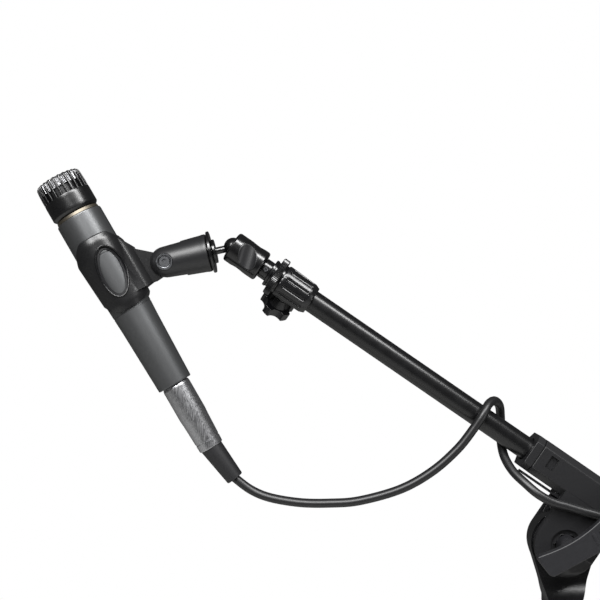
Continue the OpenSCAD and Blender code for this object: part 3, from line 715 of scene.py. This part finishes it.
cut(shoulder, turned("body", [(0, -60), (body_r(-60), -60), (16.1, 22), (16.1, 60), (0, 60)],
                     closed=False),
    moved(plate("window", oval(*WINDOW), -30, 30), TO_NEAR))
neck = moved(plate("neck", [(18.1, 16), (21.6, 15.1), (BOLT_X - 2, BOLT_Z + 8), (BOLT_X + 4, BOLT_Z - 7),
                            (24, -11.7), (18.1, -10.6)], -4, 4), TO_NEAR)
eye = rod("eye", 8.2, -3.95, 3.95, turn=shift(BOLT_X, 0, BOLT_Z) @ TO_NEAR)
cut(fuse(neck, eye), rod("bore", 2.55, -10, 10, turn=shift(BOLT_X, 0, BOLT_Z) @ TO_NEAR))
fuse(grip, shoulder)
grip = joined("clip_grip", [soften(grip, 0.6, 3), soften(neck, 0.5, 3)])
clip = settle(smooth(grip, 50), "mic", "nylon", AT_MIC, ["mic_clip"])
clip.data.materials[0] = FINISH["clip_nylon"]
bead = oval(WINDOW[0] + 0.4, WINDOW[1] + 0.4, steps=120)
rims = []
for side in (-1, 1):
    line = []
    for x, z in bead + bead[:1]:
        out = 16.7 + 2 * min(1, (z + 15) / 35)
        line.append([x, side * math.sqrt(out * out - x * x), z])
    line = np.array(line) * MM
    ways = np.gradient(line, axis=0)
    ways[0] = ways[-1] = ways[0] + ways[-1]
    rims.append(tube("rim", line, ways, radius=0.6 * MM, sides=12))
settle(joined("window_rims", rims), "mic", "knob_plastic", AT_MIC)
# The liner is painted shade: a dark rubber ring that stands for the shadow in the gap between the clip
# and the body round the window.
SHADE_LINER = ((-14, 0.1), (-14, 1.2), (8, 1.2), (30, 1.2), (30, 0.1), (8, 0.1))
shade_liner = turned("window_shade_liner", [(body_r(z) + grow, z) for z, grow in SHADE_LINER], steps=96)
trim(shade_liner, moved(plate("outer", oval(9.2, 18), -40, 40), TO_NEAR))
cut(shade_liner, moved(plate("inner", oval(6.9, 15.5), -40, 40), TO_NEAR))
settle(smooth(shade_liner), "mic", "rubber", AT_MIC)

# %% [markdown]
# The clip's base is a round barrel with a fork in its nose. Its hinge bolt sits in a recess,
# inside a raised ring, on both sides.

# %% Barrel with its fork
NOSE_R = 11.2
side_walls = fine([(NOSE_R, ARM), (12.6, 20.5), (12.8, 19.5), (12.8, 17.4), (12.4, 17), (7.9, 17),
                   (7.9, 26.2), (0, 26.2)], 2)
barrel = turned("clip_barrel", arc(NOSE_R, range(180, 89, -10), ARM) + side_walls[1:], steps=96,
                closed=False)
moved(barrel, ALONG_X)
cut(barrel, block("fork", (34, -4.3, -20), (60, 4.3, 20)))
for facing in (TO_NEAR, ALONG_Y):
    cut(barrel, rod("recess", 5.8, 9.4, 14, turn=shift(ARM) @ facing))
settle(smooth(soften(barrel, 0.5, 3), 40), "ball_arm", "nylon", AT_BALL, ["clip_base"])
bolt = rod("hinge_bolt", 2.5, -9.3, 9.3, turn=shift(ARM) @ TO_NEAR)
heads = [bolt]
for facing in (shift(ARM) @ TO_NEAR, shift(ARM) @ ALONG_Y):
    washer = turned("washer", [(3.9, 9.2), (5.6, 9.2), (5.6, 10.3), (5.3, 10.6), (4.6, 10.6),
                               (4.2, 10.0), (3.9, 9.9)], steps=64)
    head = turned("head", [(0, 9.2), (3.7, 9.2), (3.7, 10.3), (3.4, 10.6), (0, 10.6)], steps=64,
                  closed=False)
    cut(head, rod("socket", 1.9, 9.8, 12, corners=6))
    heads += [moved(washer, facing), moved(head, facing)]
settle(smooth(joined("hinge_bolt", heads)), "ball_arm", "plated_steel", AT_BALL, ["clip_bolt"])

# %% [markdown]
# ## Ball head
# A ball on a thin stud sits in a socket, and a sleeve with three thumb scallops squeezes it. The
# scallops are cut with slightly skewed rods, which gives them their lens shape.

# %% Ball, nut and flange
BALL_R = 6.5
stud = turned("ball_and_stud", arc(BALL_R, range(0, 157, 12)) + [
    (2.45, 6.0), (2.45, 28.6), (2.1, 29), (0, 29)], steps=64, closed=False)
settle(smooth(moved(stud, ALONG_X)), "ball_arm", "machined_black", AT_BALL, ["ball_stud"])
nut = turned("stud_ring", [(2.5, 12), (7.8, 12), (8.1, 12.3), (8.1, 13.7), (7.8, 14), (2.5, 14)])
settle(smooth(moved(nut, ALONG_X)), "stud_nut", "machined_black", AT_BALL, ["stud_nut"])
flange = turned("thread_flange", [(2.45, 14.3), (13.9, 14.3), (14.2, 14.6), (14.2, 15.9),
                                  (13.9, 16.2), (7.9, 16.2), (7.9, 25.2), (2.45, 25.2)], steps=96)
settle(smooth(moved(flange, ALONG_X)), "ball_arm", "machined_black", AT_BALL, ["thread_adapter"])

# %% Sleeve with its scallops
SLEEVE_AT = 271.4
sleeve = turned("lock_sleeve_body", fine([
    (5.05, SLEEVE_AT), (9.4, SLEEVE_AT), (10.3, 271.8), (10.75, 272.8), (10.75, 295.2), (10.3, 296.2),
    (9.4, 296.6), (6.4, 296.6), (6.55, 295.1), (6.55, 289), (5.05, 289)], 1.5), steps=128)
moved(sleeve, ALONG_X)
THUMB = (8.2, 16.0)
pads = []
for turn in (0, 120, 240):
    way = spun(turn, "X") @ shift(SLEEVE_AT + 11.5, THUMB[1]) @ spun(18, "Y")
    pad = cut(rod("pad", THUMB[0] + 0.45, -20, 20, corners=160, turn=way),
              rod("inside", THUMB[0], -30, 30, corners=160, turn=way))
    pads.append(trim(pad, rod("sleeve_copy", 10.55, 271, 297, corners=160, turn=ALONG_X)))
    cut(sleeve, rod("scallop", THUMB[0] + 0.4, -20, 20, corners=160, turn=way))
settle(smooth(soften(sleeve, 0.25, 3, 20), 30), "lock_sleeve", "machined_black", AT_BOOM,
       ["lock_sleeve"])
settle(smooth(joined("thumb_pads", pads)), "lock_sleeve", "nylon", AT_BOOM)
socket = turned("socket_neck", [
    (0, 265.2), (6.6, 265.2), (7, 265.6), (7, 270.7), (6.6, 271.1), (5, 271.3), (5, 290.1)]
    + arc(BALL_R + 0.05, range(40, -1, -8), BALL_AT), closed=False)
moved(socket, ALONG_X)
cut(socket, rod("screw_hole", 1.5, 3.6, 9, turn=shift(268.2) @ ALONG_Y))
settle(smooth(socket), "boom_tube", "machined_black", AT_BOOM, ["ball_socket"])

# %% Step ring and knurled disc
step = turned("step_ring", [(4.76, 263.2), (9.5, 263.2), (9.8, 263.5), (9.8, 264.9), (9.5, 265.2),
                            (4.76, 265.2)], steps=96)
settle(smooth(moved(step, ALONG_X)), "boom_tube", "machined_black", AT_BOOM, ["step_washer"])


def knurl(obj, radius, share, teeth):
    """Draws in every second column of the outermost points, as a knurling wheel does."""
    edit(obj)
    bpy.ops.mesh.select_all(action="DESELECT")
    bpy.ops.object.mode_set(mode="OBJECT")
    for v in obj.data.vertices:
        column = round(math.atan2(v.co.y, v.co.x) / (math.pi / teeth))
        v.select = column % 2 == 1 and math.hypot(v.co.x, v.co.y) > radius * MM
    bpy.ops.object.mode_set(mode="EDIT")
    bpy.ops.transform.resize(value=(share, share, 1), center_override=(0, 0, 0))
    bpy.ops.object.mode_set(mode="OBJECT")
    return obj


disc = turned("knurled_disc", [(4.85, 256.1), (10.4, 256.1), (10.4, 257.3), (13.2, 257.3),
                               (13.8, 257.8), (13.8, 261.4), (13.2, 261.9), (9.3, 261.9),
                               (9.3, 263.1), (4.85, 263.1)], steps=160)
knurl(disc, 13.5, 0.972, 80)
settle(smooth(moved(disc, ALONG_X), 20), "lock_disc", "machined_black", AT_BOOM, ["lock_disc"])

# %% [markdown]
# ## Collar and star knob
# The moulded collar on the end of the boom tube has twelve long finger grooves with round ends,
# and a boss for the star knob that clamps the ball head's stud.

# %% Ribbed collar
collar = turned("ribbed_collar", fine([
    (7.7, 231), (9.2, 231), (9.7, 231.3), (10.6, 233.6), (10.9, 234.4), (11.45, 254.6),
    (11.2, 255.6), (10.7, 256), (4.76, 256), (4.76, 245), (7.7, 245)], 2), steps=120)
moved(collar, ALONG_X)
AT_KNOB = shift(249) @ spun(135, "X")
GROOVE_R = 1.55
fuse(collar, rod("boss", 5.5, 0, 12.5, turn=AT_KNOB))
cut(collar, rod("hollow", 7.7, 230, 245, turn=ALONG_X), rod("stud_way", 4.76, 240, 260, turn=ALONG_X))
for i in range(12):
    groove = turned("groove", [(0, 234.6)] + arc(GROOVE_R, range(15, 91, 15), 236.2)
                    + arc(GROOVE_R, range(90, 166, 15), 251.8) + [(0, 253.4)],
                    steps=20, closed=False)
    cut(collar, moved(groove, spun(15 + 30 * i, "X") @ shift(z=11.7) @ ALONG_X))
settle(smooth(soften(collar, 0.25, 2, 28), 35), "boom_tube", "knob_plastic", AT_BOOM, ["tube_collar"])


# %% Star knob with five lobes
def lobed(name, radius, low, high, lobes):
    """A disc with a hollow between each two lobes, and rounded edges."""
    knob = rod(name, radius, low, high, corners=120)
    for i in range(lobes):
        cut(knob, rod("hollow", radius * 0.5, low - 1, high + 1, corners=64,
                      turn=spun((i + 0.5) * 360 / lobes) @ shift(radius * 1.24)))
    return soften(knob, 1.1, 4, 40)


star = lobed("star", 12, 17.5, 24.5, 5)
hub = turned("hub", [(0, 6), (2.5, 6), (2.5, 12.8), (5, 12.8), (8, 17.6), (8, 18), (0, 18)],
             closed=False)
knob = joined("five_lobe_knob", [star, hub])
settle(smooth(knob, 40), "star_knob", "knob_plastic", AT_BOOM @ AT_KNOB, ["star_knob"])

# %% [markdown]
# ## Boom tubes
# The sliding tube is turned with many steps, so that its long highlight stays straight.

# %% Inner and outer tube, and the end cap
inner = turned("sliding_tube", [(6.5, -195), (7.7, -195), (7.7, 245), (6.5, 245)], steps=128)
settle(smooth(moved(inner, ALONG_X)), "boom_tube", "powder_coat", AT_BOOM, ["boom_inner_tube"])
outer = turned("fixed_tube", [(8.2, -388), (10, -388), (10, 44), (8.2, 44)], steps=128)
settle(smooth(moved(outer, ALONG_X)), "boom_arm", "powder_coat", AT_BOOM, ["boom_outer_tube"])
end_cap = turned("tail_cap", [(0, -396), (8.4, -396), (9.5, -395.5), (10, -394.2), (10, -388),
                              (8.2, -388), (8.2, -376.6), (7.8, -376), (0, -376)], closed=False)
settle(smooth(moved(end_cap, ALONG_X)), "boom_arm", "nylon", AT_BOOM, ["boom_end_cap"])

# %% [markdown]
# ## Clamp housing
# The housing is a long moulded block with broad chamfers. Its nose is a second moulding, and the
# thin joint between the two shows as a line. Two cheeks reach down to the tilt joint, and a
# small window in the near side shows a tongue inside.

# %% The block, its nose and its cheeks
HALF_W, HALF_H, CHAMFER = 13, 12.5, 4.5
REAR, NOSE, JOINT = -60, 54.7, 48.9
CHEEK_IN, CHEEK_OUT, CHEEK_R = 8.5, 13, 21
TILT_AXIS = shift(z=-BOOM_UP)


def octagon(grow=0):
    w, h, c = HALF_W + grow, HALF_H + grow, CHAMFER
    return [(-h + c, -w), (h - c, -w), (h, -w + c), (h, w - c), (h - c, w), (-h + c, w),
            (-h, w - c), (-h, -w + c)]


housing = moved(plate("clamp_block", octagon(), REAR, JOINT - 0.35), ALONG_X)
soften(housing, 0.6, 3, 25)
core = moved(plate("core", octagon(-1.2), JOINT - 3, JOINT + 2), ALONG_X)
nose_block = moved(plate("nose", octagon(-0.1), JOINT, NOSE), ALONG_X)
edit(nose_block, "FACE")
bpy.ops.mesh.select_all(action="DESELECT")
bpy.ops.object.mode_set(mode="OBJECT")
for face in nose_block.data.polygons:
    face.select = face.normal.x > 0.9
bpy.ops.object.mode_set(mode="EDIT")
bpy.ops.mesh.inset(thickness=0, depth=0)
bpy.ops.transform.resize(value=(1, 0.82, 0.82), center_override=(NOSE * MM, 0, 0))
bpy.ops.object.mode_set(mode="OBJECT")
soften(nose_block, 0.5, 3, 25)
for facing, near, far in ((TO_NEAR, -CHEEK_OUT, -CHEEK_IN), (ALONG_Y, CHEEK_IN, CHEEK_OUT)):
    cheek = rod("cheek", CHEEK_R, CHEEK_IN, CHEEK_OUT, corners=96, turn=TILT_AXIS @ facing)
    fuse(cheek, block("web", (-CHEEK_R, near, -BOOM_UP), (CHEEK_R, far, -8)))
    fuse(housing, soften(cheek, 0.5, 3, 40))
fuse(housing, core, nose_block)
cut(housing, rod("bore", 10, REAR - 1, 53, corners=96, turn=ALONG_X),
    rod("mouth", 8.5, 50, 60, corners=96, turn=ALONG_X),
    block("window", (35.8, 8, -2.9), (41.6, 20, 5.7)),
    rod("counterbore", 10.5, 10, 15, corners=96, turn=TILT_AXIS @ ALONG_Y),
    rod("bolt_way", 4.05, -20, 20, turn=TILT_AXIS @ ALONG_Y))
hexagon = rod("hexagon", 8.2, 9.8, 12.2, corners=6, turn=TILT_AXIS @ ALONG_Y)
cut(hexagon, rod("hexagon_way", 7.1, 8, 20, turn=TILT_AXIS @ ALONG_Y))
tongue = block("tongue", (35.9, 10.1, -2.8), (41.5, 10.6, 5.6))
housing = joined("clamp_housing_shell", [housing, soften(hexagon, 0.2), tongue])
settle(smooth(housing, 30), "boom_arm", "nylon", AT_BOOM, ["clamp_housing"])

# %% Clamp leaf, friction discs and tilt bolt
leaf = fuse(block("leaf", (20, -6, -15.6), (50, 6, -14)),
            block("root", (20, -6, -15), (24, 6, -12.5)))
settle(smooth(soften(leaf, 0.4, 3)), "boom_arm", "nylon", AT_BOOM, ["clamp_lip"])


def toothed(low, high):
    obj = turned("toothed_disc", [(4, low), (19.8, low), (20.7, low + 0.3), (20.7, high - 0.3),
                                  (19.8, high), (4, high)], steps=180)
    return knurl(obj, 20.3, 0.97, 90)


discs = joined("toothed_discs", [moved(toothed(6.02, 8.2), TO_NEAR),
                                 moved(toothed(6.02, 8.2), ALONG_Y)])
settle(smooth(discs, 20), "head", "plated_steel", AT_PIVOT, ["friction_discs"])
tilt_bolt = rod("tilt_bolt", 4, -19, 22, turn=TO_NEAR)
bolt_head = soften(rod("bolt_head", 7.5, -19, -13.5, corners=6, turn=TO_NEAR), 0.5)
settle(smooth(joined("tilt_bolt", [tilt_bolt, bolt_head])), "head", "plated_steel", AT_PIVOT,
       ["pivot_bolt"])

# %% [markdown]
# The bracket is a casting: a thick round tongue between the cheeks that flares into the neck on
# top of the mast. It is the overlap of two outlines, seen from the front and from the side.

# %% Tilt bracket
NECK_R, NECK_TOP, NECK_LOW = 11.2, -38, -42.7
TONGUE, FLARE = 6, 13.5
front = rod("bracket", 22, -20, 20, corners=128)
front = fuse(front, plate("skirt", [(-20, -9.2), (-NECK_R, NECK_TOP), (-NECK_R, NECK_LOW),
                                    (NECK_R, NECK_LOW), (NECK_R, NECK_TOP), (20, -9.2)], -20, 20))
moved(front, TO_NEAR)
side_line = [(NECK_R, NECK_LOW), (NECK_R, NECK_TOP)]
for i in range(1, 31):
    t = i / 30
    side_line.append((NECK_R - (NECK_R - TONGUE) * t * t * (3 - 2 * t), NECK_TOP + 1.5 + FLARE * t))
side_line.append((TONGUE, 30))
side_line += [(-y, z) for y, z in reversed(side_line)]
profile = moved(plate("profile", side_line, -30, 30), spun(90, "Z") @ TO_NEAR)
trim(front, profile)
fuse(front, rod("neck", NECK_R, NECK_LOW, NECK_LOW + 6, corners=96))
cut(front, rod("bolt_way", 4, -30, 30, turn=TO_NEAR), rod("stud_way", 4.81, NECK_LOW - 1, -27.7))
front.name = "tilt_bracket"
settle(smooth(soften(front, 0.8, 3, 40), 40), "head", "machined_black", AT_PIVOT, ["pivot_bracket"])

# %% [markdown]
# The lever is a broad cast wing on a round hub. Its upper edge is slightly hollow, and three low
# bars stand on its face as a plain grip mark.

# %% Tilt lever
LEVER_TURN = 28
wing_line = [(-22, 7.3), (-22.6, 5), (-20.5, -7), (-18.5, -9.3), (70, -8.5), (78, -5), (80, 0), (78, 5),
             (70, 8.5), (50, 10.3)]
wing_line += [(30 - 52 * i / 12, 10.3 - 3 * i / 12 - 3.4 * math.sin(math.pi * i / 12))
              for i in range(12)]
wing = soften(plate("wing", wing_line, 23.5, 29), 0.9, 4, 30)
for i in range(3):
    bar = soften(block("bar", (16 + 5 * i, -4, 28.5), (18 + 5 * i, 4, 29.5)), 0.3, 2)
    wing = fuse(wing, bar)
moved(wing, TO_NEAR @ spun(LEVER_TURN))
hub_disc = turned("hub_disc", [(0, 10.4), (6.6, 10.4), (6.9, 10.7), (6.9, 24), (0, 24)], steps=96,
                  closed=False)
moved(hub_disc, TO_NEAR)
cut(hub_disc, rod("bolt_way", 4.05, 5, 22.2, turn=TO_NEAR))
settle(smooth(joined("tilt_wing_lever", [wing, hub_disc]), 35), "tilt_lever", "cast_metal", AT_PIVOT,
       ["tilt_lever"])

# %% [markdown]
# ## Mast and its clutch
# Two steel tubes slide in one another. A moulded sleeve sits on the lower one, and its grip, with
# long finger grooves, is turned to clamp the upper one.

# %% Mast tubes
LOWER_R, UPPER_R, WALL, MAST_TOP = 12.5, 10, 1.5, 948


def mast_tube(name, radius, low, high):
    """A steel tube with its upper edge broken."""
    return smooth(turned(name, [(radius - WALL, low), (radius, low), (radius, high - 0.4),
                                (radius - 0.4, high), (radius - WALL, high)], steps=96))


settle(mast_tube("lower_mast_tube", LOWER_R, 72, 835), "base", SLOT_OF["lower_mast"],
       stands_for=["lower_mast"])
settle(mast_tube("upper_mast_tube", UPPER_R, 165, MAST_TOP), "upper_mast", SLOT_OF["upper_mast"],
       stands_for=["upper_mast"])
THREAD = [(4.76 - 0.35 * (i % 2), 957.6 + 0.6 * i) for i in range(22)]
top = turned("threaded_top", [
    (0, 933), (8.5, 933), (8.5, MAST_TOP), (9.6, MAST_TOP), (UPPER_R, 948.4), (UPPER_R, 956.5),
    (9.5, 957)] + THREAD + [(4.2, 971), (0, 971)], closed=False)
settle(smooth(top), "upper_mast", SLOT_OF["mast_top_stud"], stands_for=["mast_top_stud"])

# %% Clutch sleeve and grip
sleeve = turned("clutch_sleeve", [
    (LOWER_R, 800), (15.4, 800), (16, 800.6), (16, 804), (15.3, 804.5), (15.3, 805.5), (16, 806),
    (16, 842.4), (15.4, 843), (15, 843), (15, 846), (14, 846), (14, 858), (10.6, 858), (10.6, 838),
    (LOWER_R, 836)], steps=96)
settle(smooth(sleeve), "base", SLOT_OF["height_clutch_body"], stands_for=["height_clutch_body"])
grip = turned("clutch_grip", fine([
    (14.05, 846.3), (17.8, 846.3), (18.5, 847), (18.5, 878.4), (16, 883.2), (15.2, 884), (10.6, 884),
    (10.3, 883.6), (10.3, 858.6), (14.05, 858.6)], 3), steps=120)
for i in range(20):
    cut(grip, rod("groove", 1.5, 850, 876, corners=24, turn=spun(18 * i) @ shift(19.1)))
settle(smooth(soften(grip, 0.3, 2, 30), 40), "height_clutch", SLOT_OF["height_clutch_ring"],
       stands_for=["height_clutch_ring"])

# %% [markdown]
# ## Tripod base
# The hub is a casting with three forked lugs. Each leg is a steel tube with a pressed tongue at
# the hinge end and a ribbed rubber foot, which is cut flat where it meets the floor.

# %% Hub with its pins and knob
FOOT_CIRCLE, FOOT_Z, FOOT_R = 320, 11, 11.5
HINGE_R, HINGE_Z = 34, 88
LEG_SLOPE = math.atan2(HINGE_Z - FOOT_Z, FOOT_CIRCLE - HINGE_R)
LEG_LEN = (FOOT_CIRCLE - HINGE_R) / math.cos(LEG_SLOPE)
LEG_TURNS = (180, 60, 300)
AT_HUB_KNOB = spun(120) @ shift(z=HINGE_Z) @ ALONG_X


def at_hinge(azimuth):
    return spun(azimuth) @ shift(HINGE_R, 0, HINGE_Z)


hub = turned("tripod_hub", [
    (LOWER_R, 72), (5, 72), (5, 66), (20.8, 66), (22, 67.2), (22, 106.8), (20.8, 108), (18.6, 108),
    (18, 108.6), (18, 117.2), (17.2, 118), (LOWER_R, 118)], steps=96)
pins = []
for azimuth in LEG_TURNS:
    lug = fuse(block("lug", (17, -9.2, -9), (HINGE_R, 9.2, 9)),
               rod("round", 9, -9.15, 9.15, turn=shift(HINGE_R) @ TO_NEAR))
    cut(lug, block("slot", (24, -5.2, -15), (60, 5.2, 15)))
    soften(lug, 0.8, 3, 40)
    fuse(hub, moved(lug, spun(azimuth) @ shift(z=HINGE_Z)))
    pin = turned("pin", [(0, -10.9), (2.6, -10.9), (3, -10.5), (3, 10.5), (2.6, 10.9), (0, 10.9)],
                 steps=48, closed=False)
    pins.append(moved(pin, at_hinge(azimuth) @ TO_NEAR))
boss = turned("boss", [(4.1, 15), (9, 15), (9, 29.2), (8.3, 30), (4.1, 30)], steps=64)
fuse(hub, moved(boss, AT_HUB_KNOB))
settle(smooth(hub, 35), "base", SLOT_OF["leg_hub"], stands_for=["leg_hub"])
settle(smooth(joined("hinge_pins", pins)), "base", SLOT_OF["leg_pins"], stands_for=["leg_pins"])
knob = lobed("clamp_knob", 13, 38, 47, 4)
stem = turned("stem", [(0, 14), (4, 14), (4, 30.3), (8, 30.3), (11, 38.3), (0, 38.3)], closed=False)
settle(smooth(joined("clamp_knob", [knob, stem]), 40), "hub_knob", SLOT_OF["hub_knob"],
       AT_HUB_KNOB, ["hub_knob"])

# %% Legs and feet
for number, azimuth in enumerate(LEG_TURNS, start=1):
    at_leg = at_hinge(azimuth) @ Matrix.Rotation(LEG_SLOPE, 4, "Y")
    tongue = fuse(block("tongue", (0, -4.8, -7.5), (40, 4.8, 7.5)),
                  rod("round", 7.8, -4.75, 4.75, turn=TO_NEAR))
    cut(tongue, rod("hole", 3.05, -10, 10, turn=TO_NEAR))
    leg = turned("leg", [(7.5, 30), (8.4, 30), (9, 31), (9, 44), (8.5, 45), (8.5, 47), (9, 48),
                         (9, LEG_LEN - 0.5), (8.6, LEG_LEN), (7.5, LEG_LEN)], steps=80)
    leg = joined(f"tripod_leg_{number}", [moved(leg, ALONG_X), soften(tongue, 0.6, 3)])
    settle(smooth(leg, 35), f"leg_{number}", SLOT_OF[f"leg_{number}"], at_leg, [f"leg_{number}"])
    line = [(9, LEG_LEN - 38), (10.3, LEG_LEN - 38)]
    for i in range(5):
        z = LEG_LEN - 35 + 6 * i
        line += [(11.3, z - 1.6), (FOOT_R, z - 0.9), (FOOT_R, z + 1.7), (11.3, z + 2.4),
                 (10.7, z + 2.7), (10.7, z + 3.6)]
    line += arc(FOOT_R, range(90, 171, 10), LEG_LEN + 4)
    line += [(0, LEG_LEN + 4 + FOOT_R), (0, LEG_LEN), (9, LEG_LEN)]
    foot = moved(turned("foot", line, steps=80), at_leg @ ALONG_X)
    cut(foot, block("floor_cut", (-400, -400, -50), (400, 400, 0)))
    foot.name = f"ribbed_foot_{number}"
    settle(smooth(foot, 35), f"leg_{number}", SLOT_OF[f"foot_{number}"], stands_for=[f"foot_{number}"])

# %% [markdown]
# ## Plug and tie
# The cable's far end carries a 3-pin plug: a nickel barrel, an insulator with its pins in the
# mouth and a grooved boot. A strap holds the coil together.

# %% Plug
PLUG_BACK = shift(105, 36, 9.7)
AT_PLUG = PLUG_BACK @ spun(-90, "Y")
barrel = turned("plug_barrel", [
    (0, 0), (7.6, 0), (8.2, 0.6), (9.3, 13), (9.5, 14.5), (9.5, 38), (9.2, 38.4), (9.2, 39.2),
    (9.5, 39.6), (9.5, 45.4), (9.2, 46), (8.4, 46), (8.4, 30), (0, 30)], steps=96, closed=False)
settle(smooth(barrel), "base", "nickel", AT_PLUG, ["plug_shell"])
relief = turned("plug_strain_relief", boot_outline(24, 7.5, 4, 3, 0, 3.1), steps=64, closed=False)
settle(smooth(relief, 50), "base", "rubber", PLUG_BACK @ ALONG_X, ["plug_boot"])
insulator = turned("pin_insulator", [(0, 29.8), (8.35, 29.8), (8.35, 31), (7.9, 31.4), (0, 31.4)],
                   closed=False)
settle(smooth(insulator), "base", "nylon", AT_PLUG)
contacts = []
for turn in (0, 120, 240):
    contact = turned("contact", [(0, 31), (1.2, 31), (1.2, 42.4), (0.9, 43.2), (0, 43.5)], steps=32,
                     closed=False)
    contacts.append(moved(contact, spun(turn) @ shift(3.6)))
contacts = settle(smooth(joined("contact_pins", contacts)), "base", "nickel", AT_PLUG)

# %% Strap round the coil
strap = cut(plate("cable_tie", [(22.8, 0.03), (43.2, 0.03), (43.2, 18.8), (42.4, 19.6), (23.6, 19.6),
                                (22.8, 18.8)], -5, 5),
            plate("inside", [(23.5, 0.2), (42.5, 0.2), (42.5, 18.6), (42.1, 18.95), (23.9, 18.95),
                             (23.5, 18.6)], -9, 9))
settle(smooth(strap), "base", "rubber", shift(COIL.x, COIL.y) @ spun(40) @ TO_NEAR)

# %% [markdown]
# ## Floor and light
# The floor is plain and pale. One large softbox stands high on the left in front, a long strip
# hangs above, and a weaker one fills from the right. The surround is white to the eye and dim to
# everything that reflects it, which keeps black parts black.

# %% Floor
deselect()
bpy.ops.mesh.primitive_plane_add(size=5)
floor = bpy.context.object
floor.name = "floor"
finish("floor", "matt white paint", "#e6e6e4", "#ececea", 40, (0.6, 0.7), 0.02)
floor.data.materials.append(FINISH["floor"])
floor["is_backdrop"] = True


# %% Lights
def softbox(name, place, target, width, height, power):
    data = bpy.data.lights.new(name, "AREA")
    data.shape, data.size, data.size_y, data.energy = "RECTANGLE", width, height, power
    lamp = bpy.data.objects.new(name, data)
    lamp.location = place
    lamp.rotation_euler = (Vector(target) - Vector(place)).to_track_quat("-Z", "Y").to_euler()
    scene.collection.objects.link(lamp)


softbox("key", (-0.7, -1.3, 2.0), (-0.2, 0, 1.12), 0.7, 0.7, 26)
softbox("strip", (0.15, -0.95, 2.2), (-0.15, 0, 1.1), 1.5, 0.3, 34)
softbox("fill", (1.5, -1.1, 0.7), (-0.1, 0, 1.05), 0.5, 1.0, 5)
world = bpy.data.worlds.new("studio")
world.use_nodes = True
scene.world = world
tree = world.node_tree
tree.nodes.clear()
rays = tree.nodes.new("ShaderNodeLightPath")
seen = add(tree, "Background", {"Color": (1, 1, 1, 1), "Strength": 1.0})
lit = add(tree, "Background", {"Color": (1, 1, 1, 1), "Strength": 0.07})
both = add(tree, "MixShader", {"Fac": rays.outputs["Is Camera Ray"]})
tree.links.new(lit.outputs[0], both.inputs[1])
tree.links.new(seen.outputs[0], both.inputs[2])
out = tree.nodes.new("ShaderNodeOutputWorld")
tree.links.new(both.outputs[0], out.inputs["Surface"])
scene.view_settings.view_transform = "Standard"

deselect()
new_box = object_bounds()
for low, high, side in zip(new_box[0], new_box[1], "XYZ"):
    print(f"{side}: {low:.4f} to {high:.4f} m")
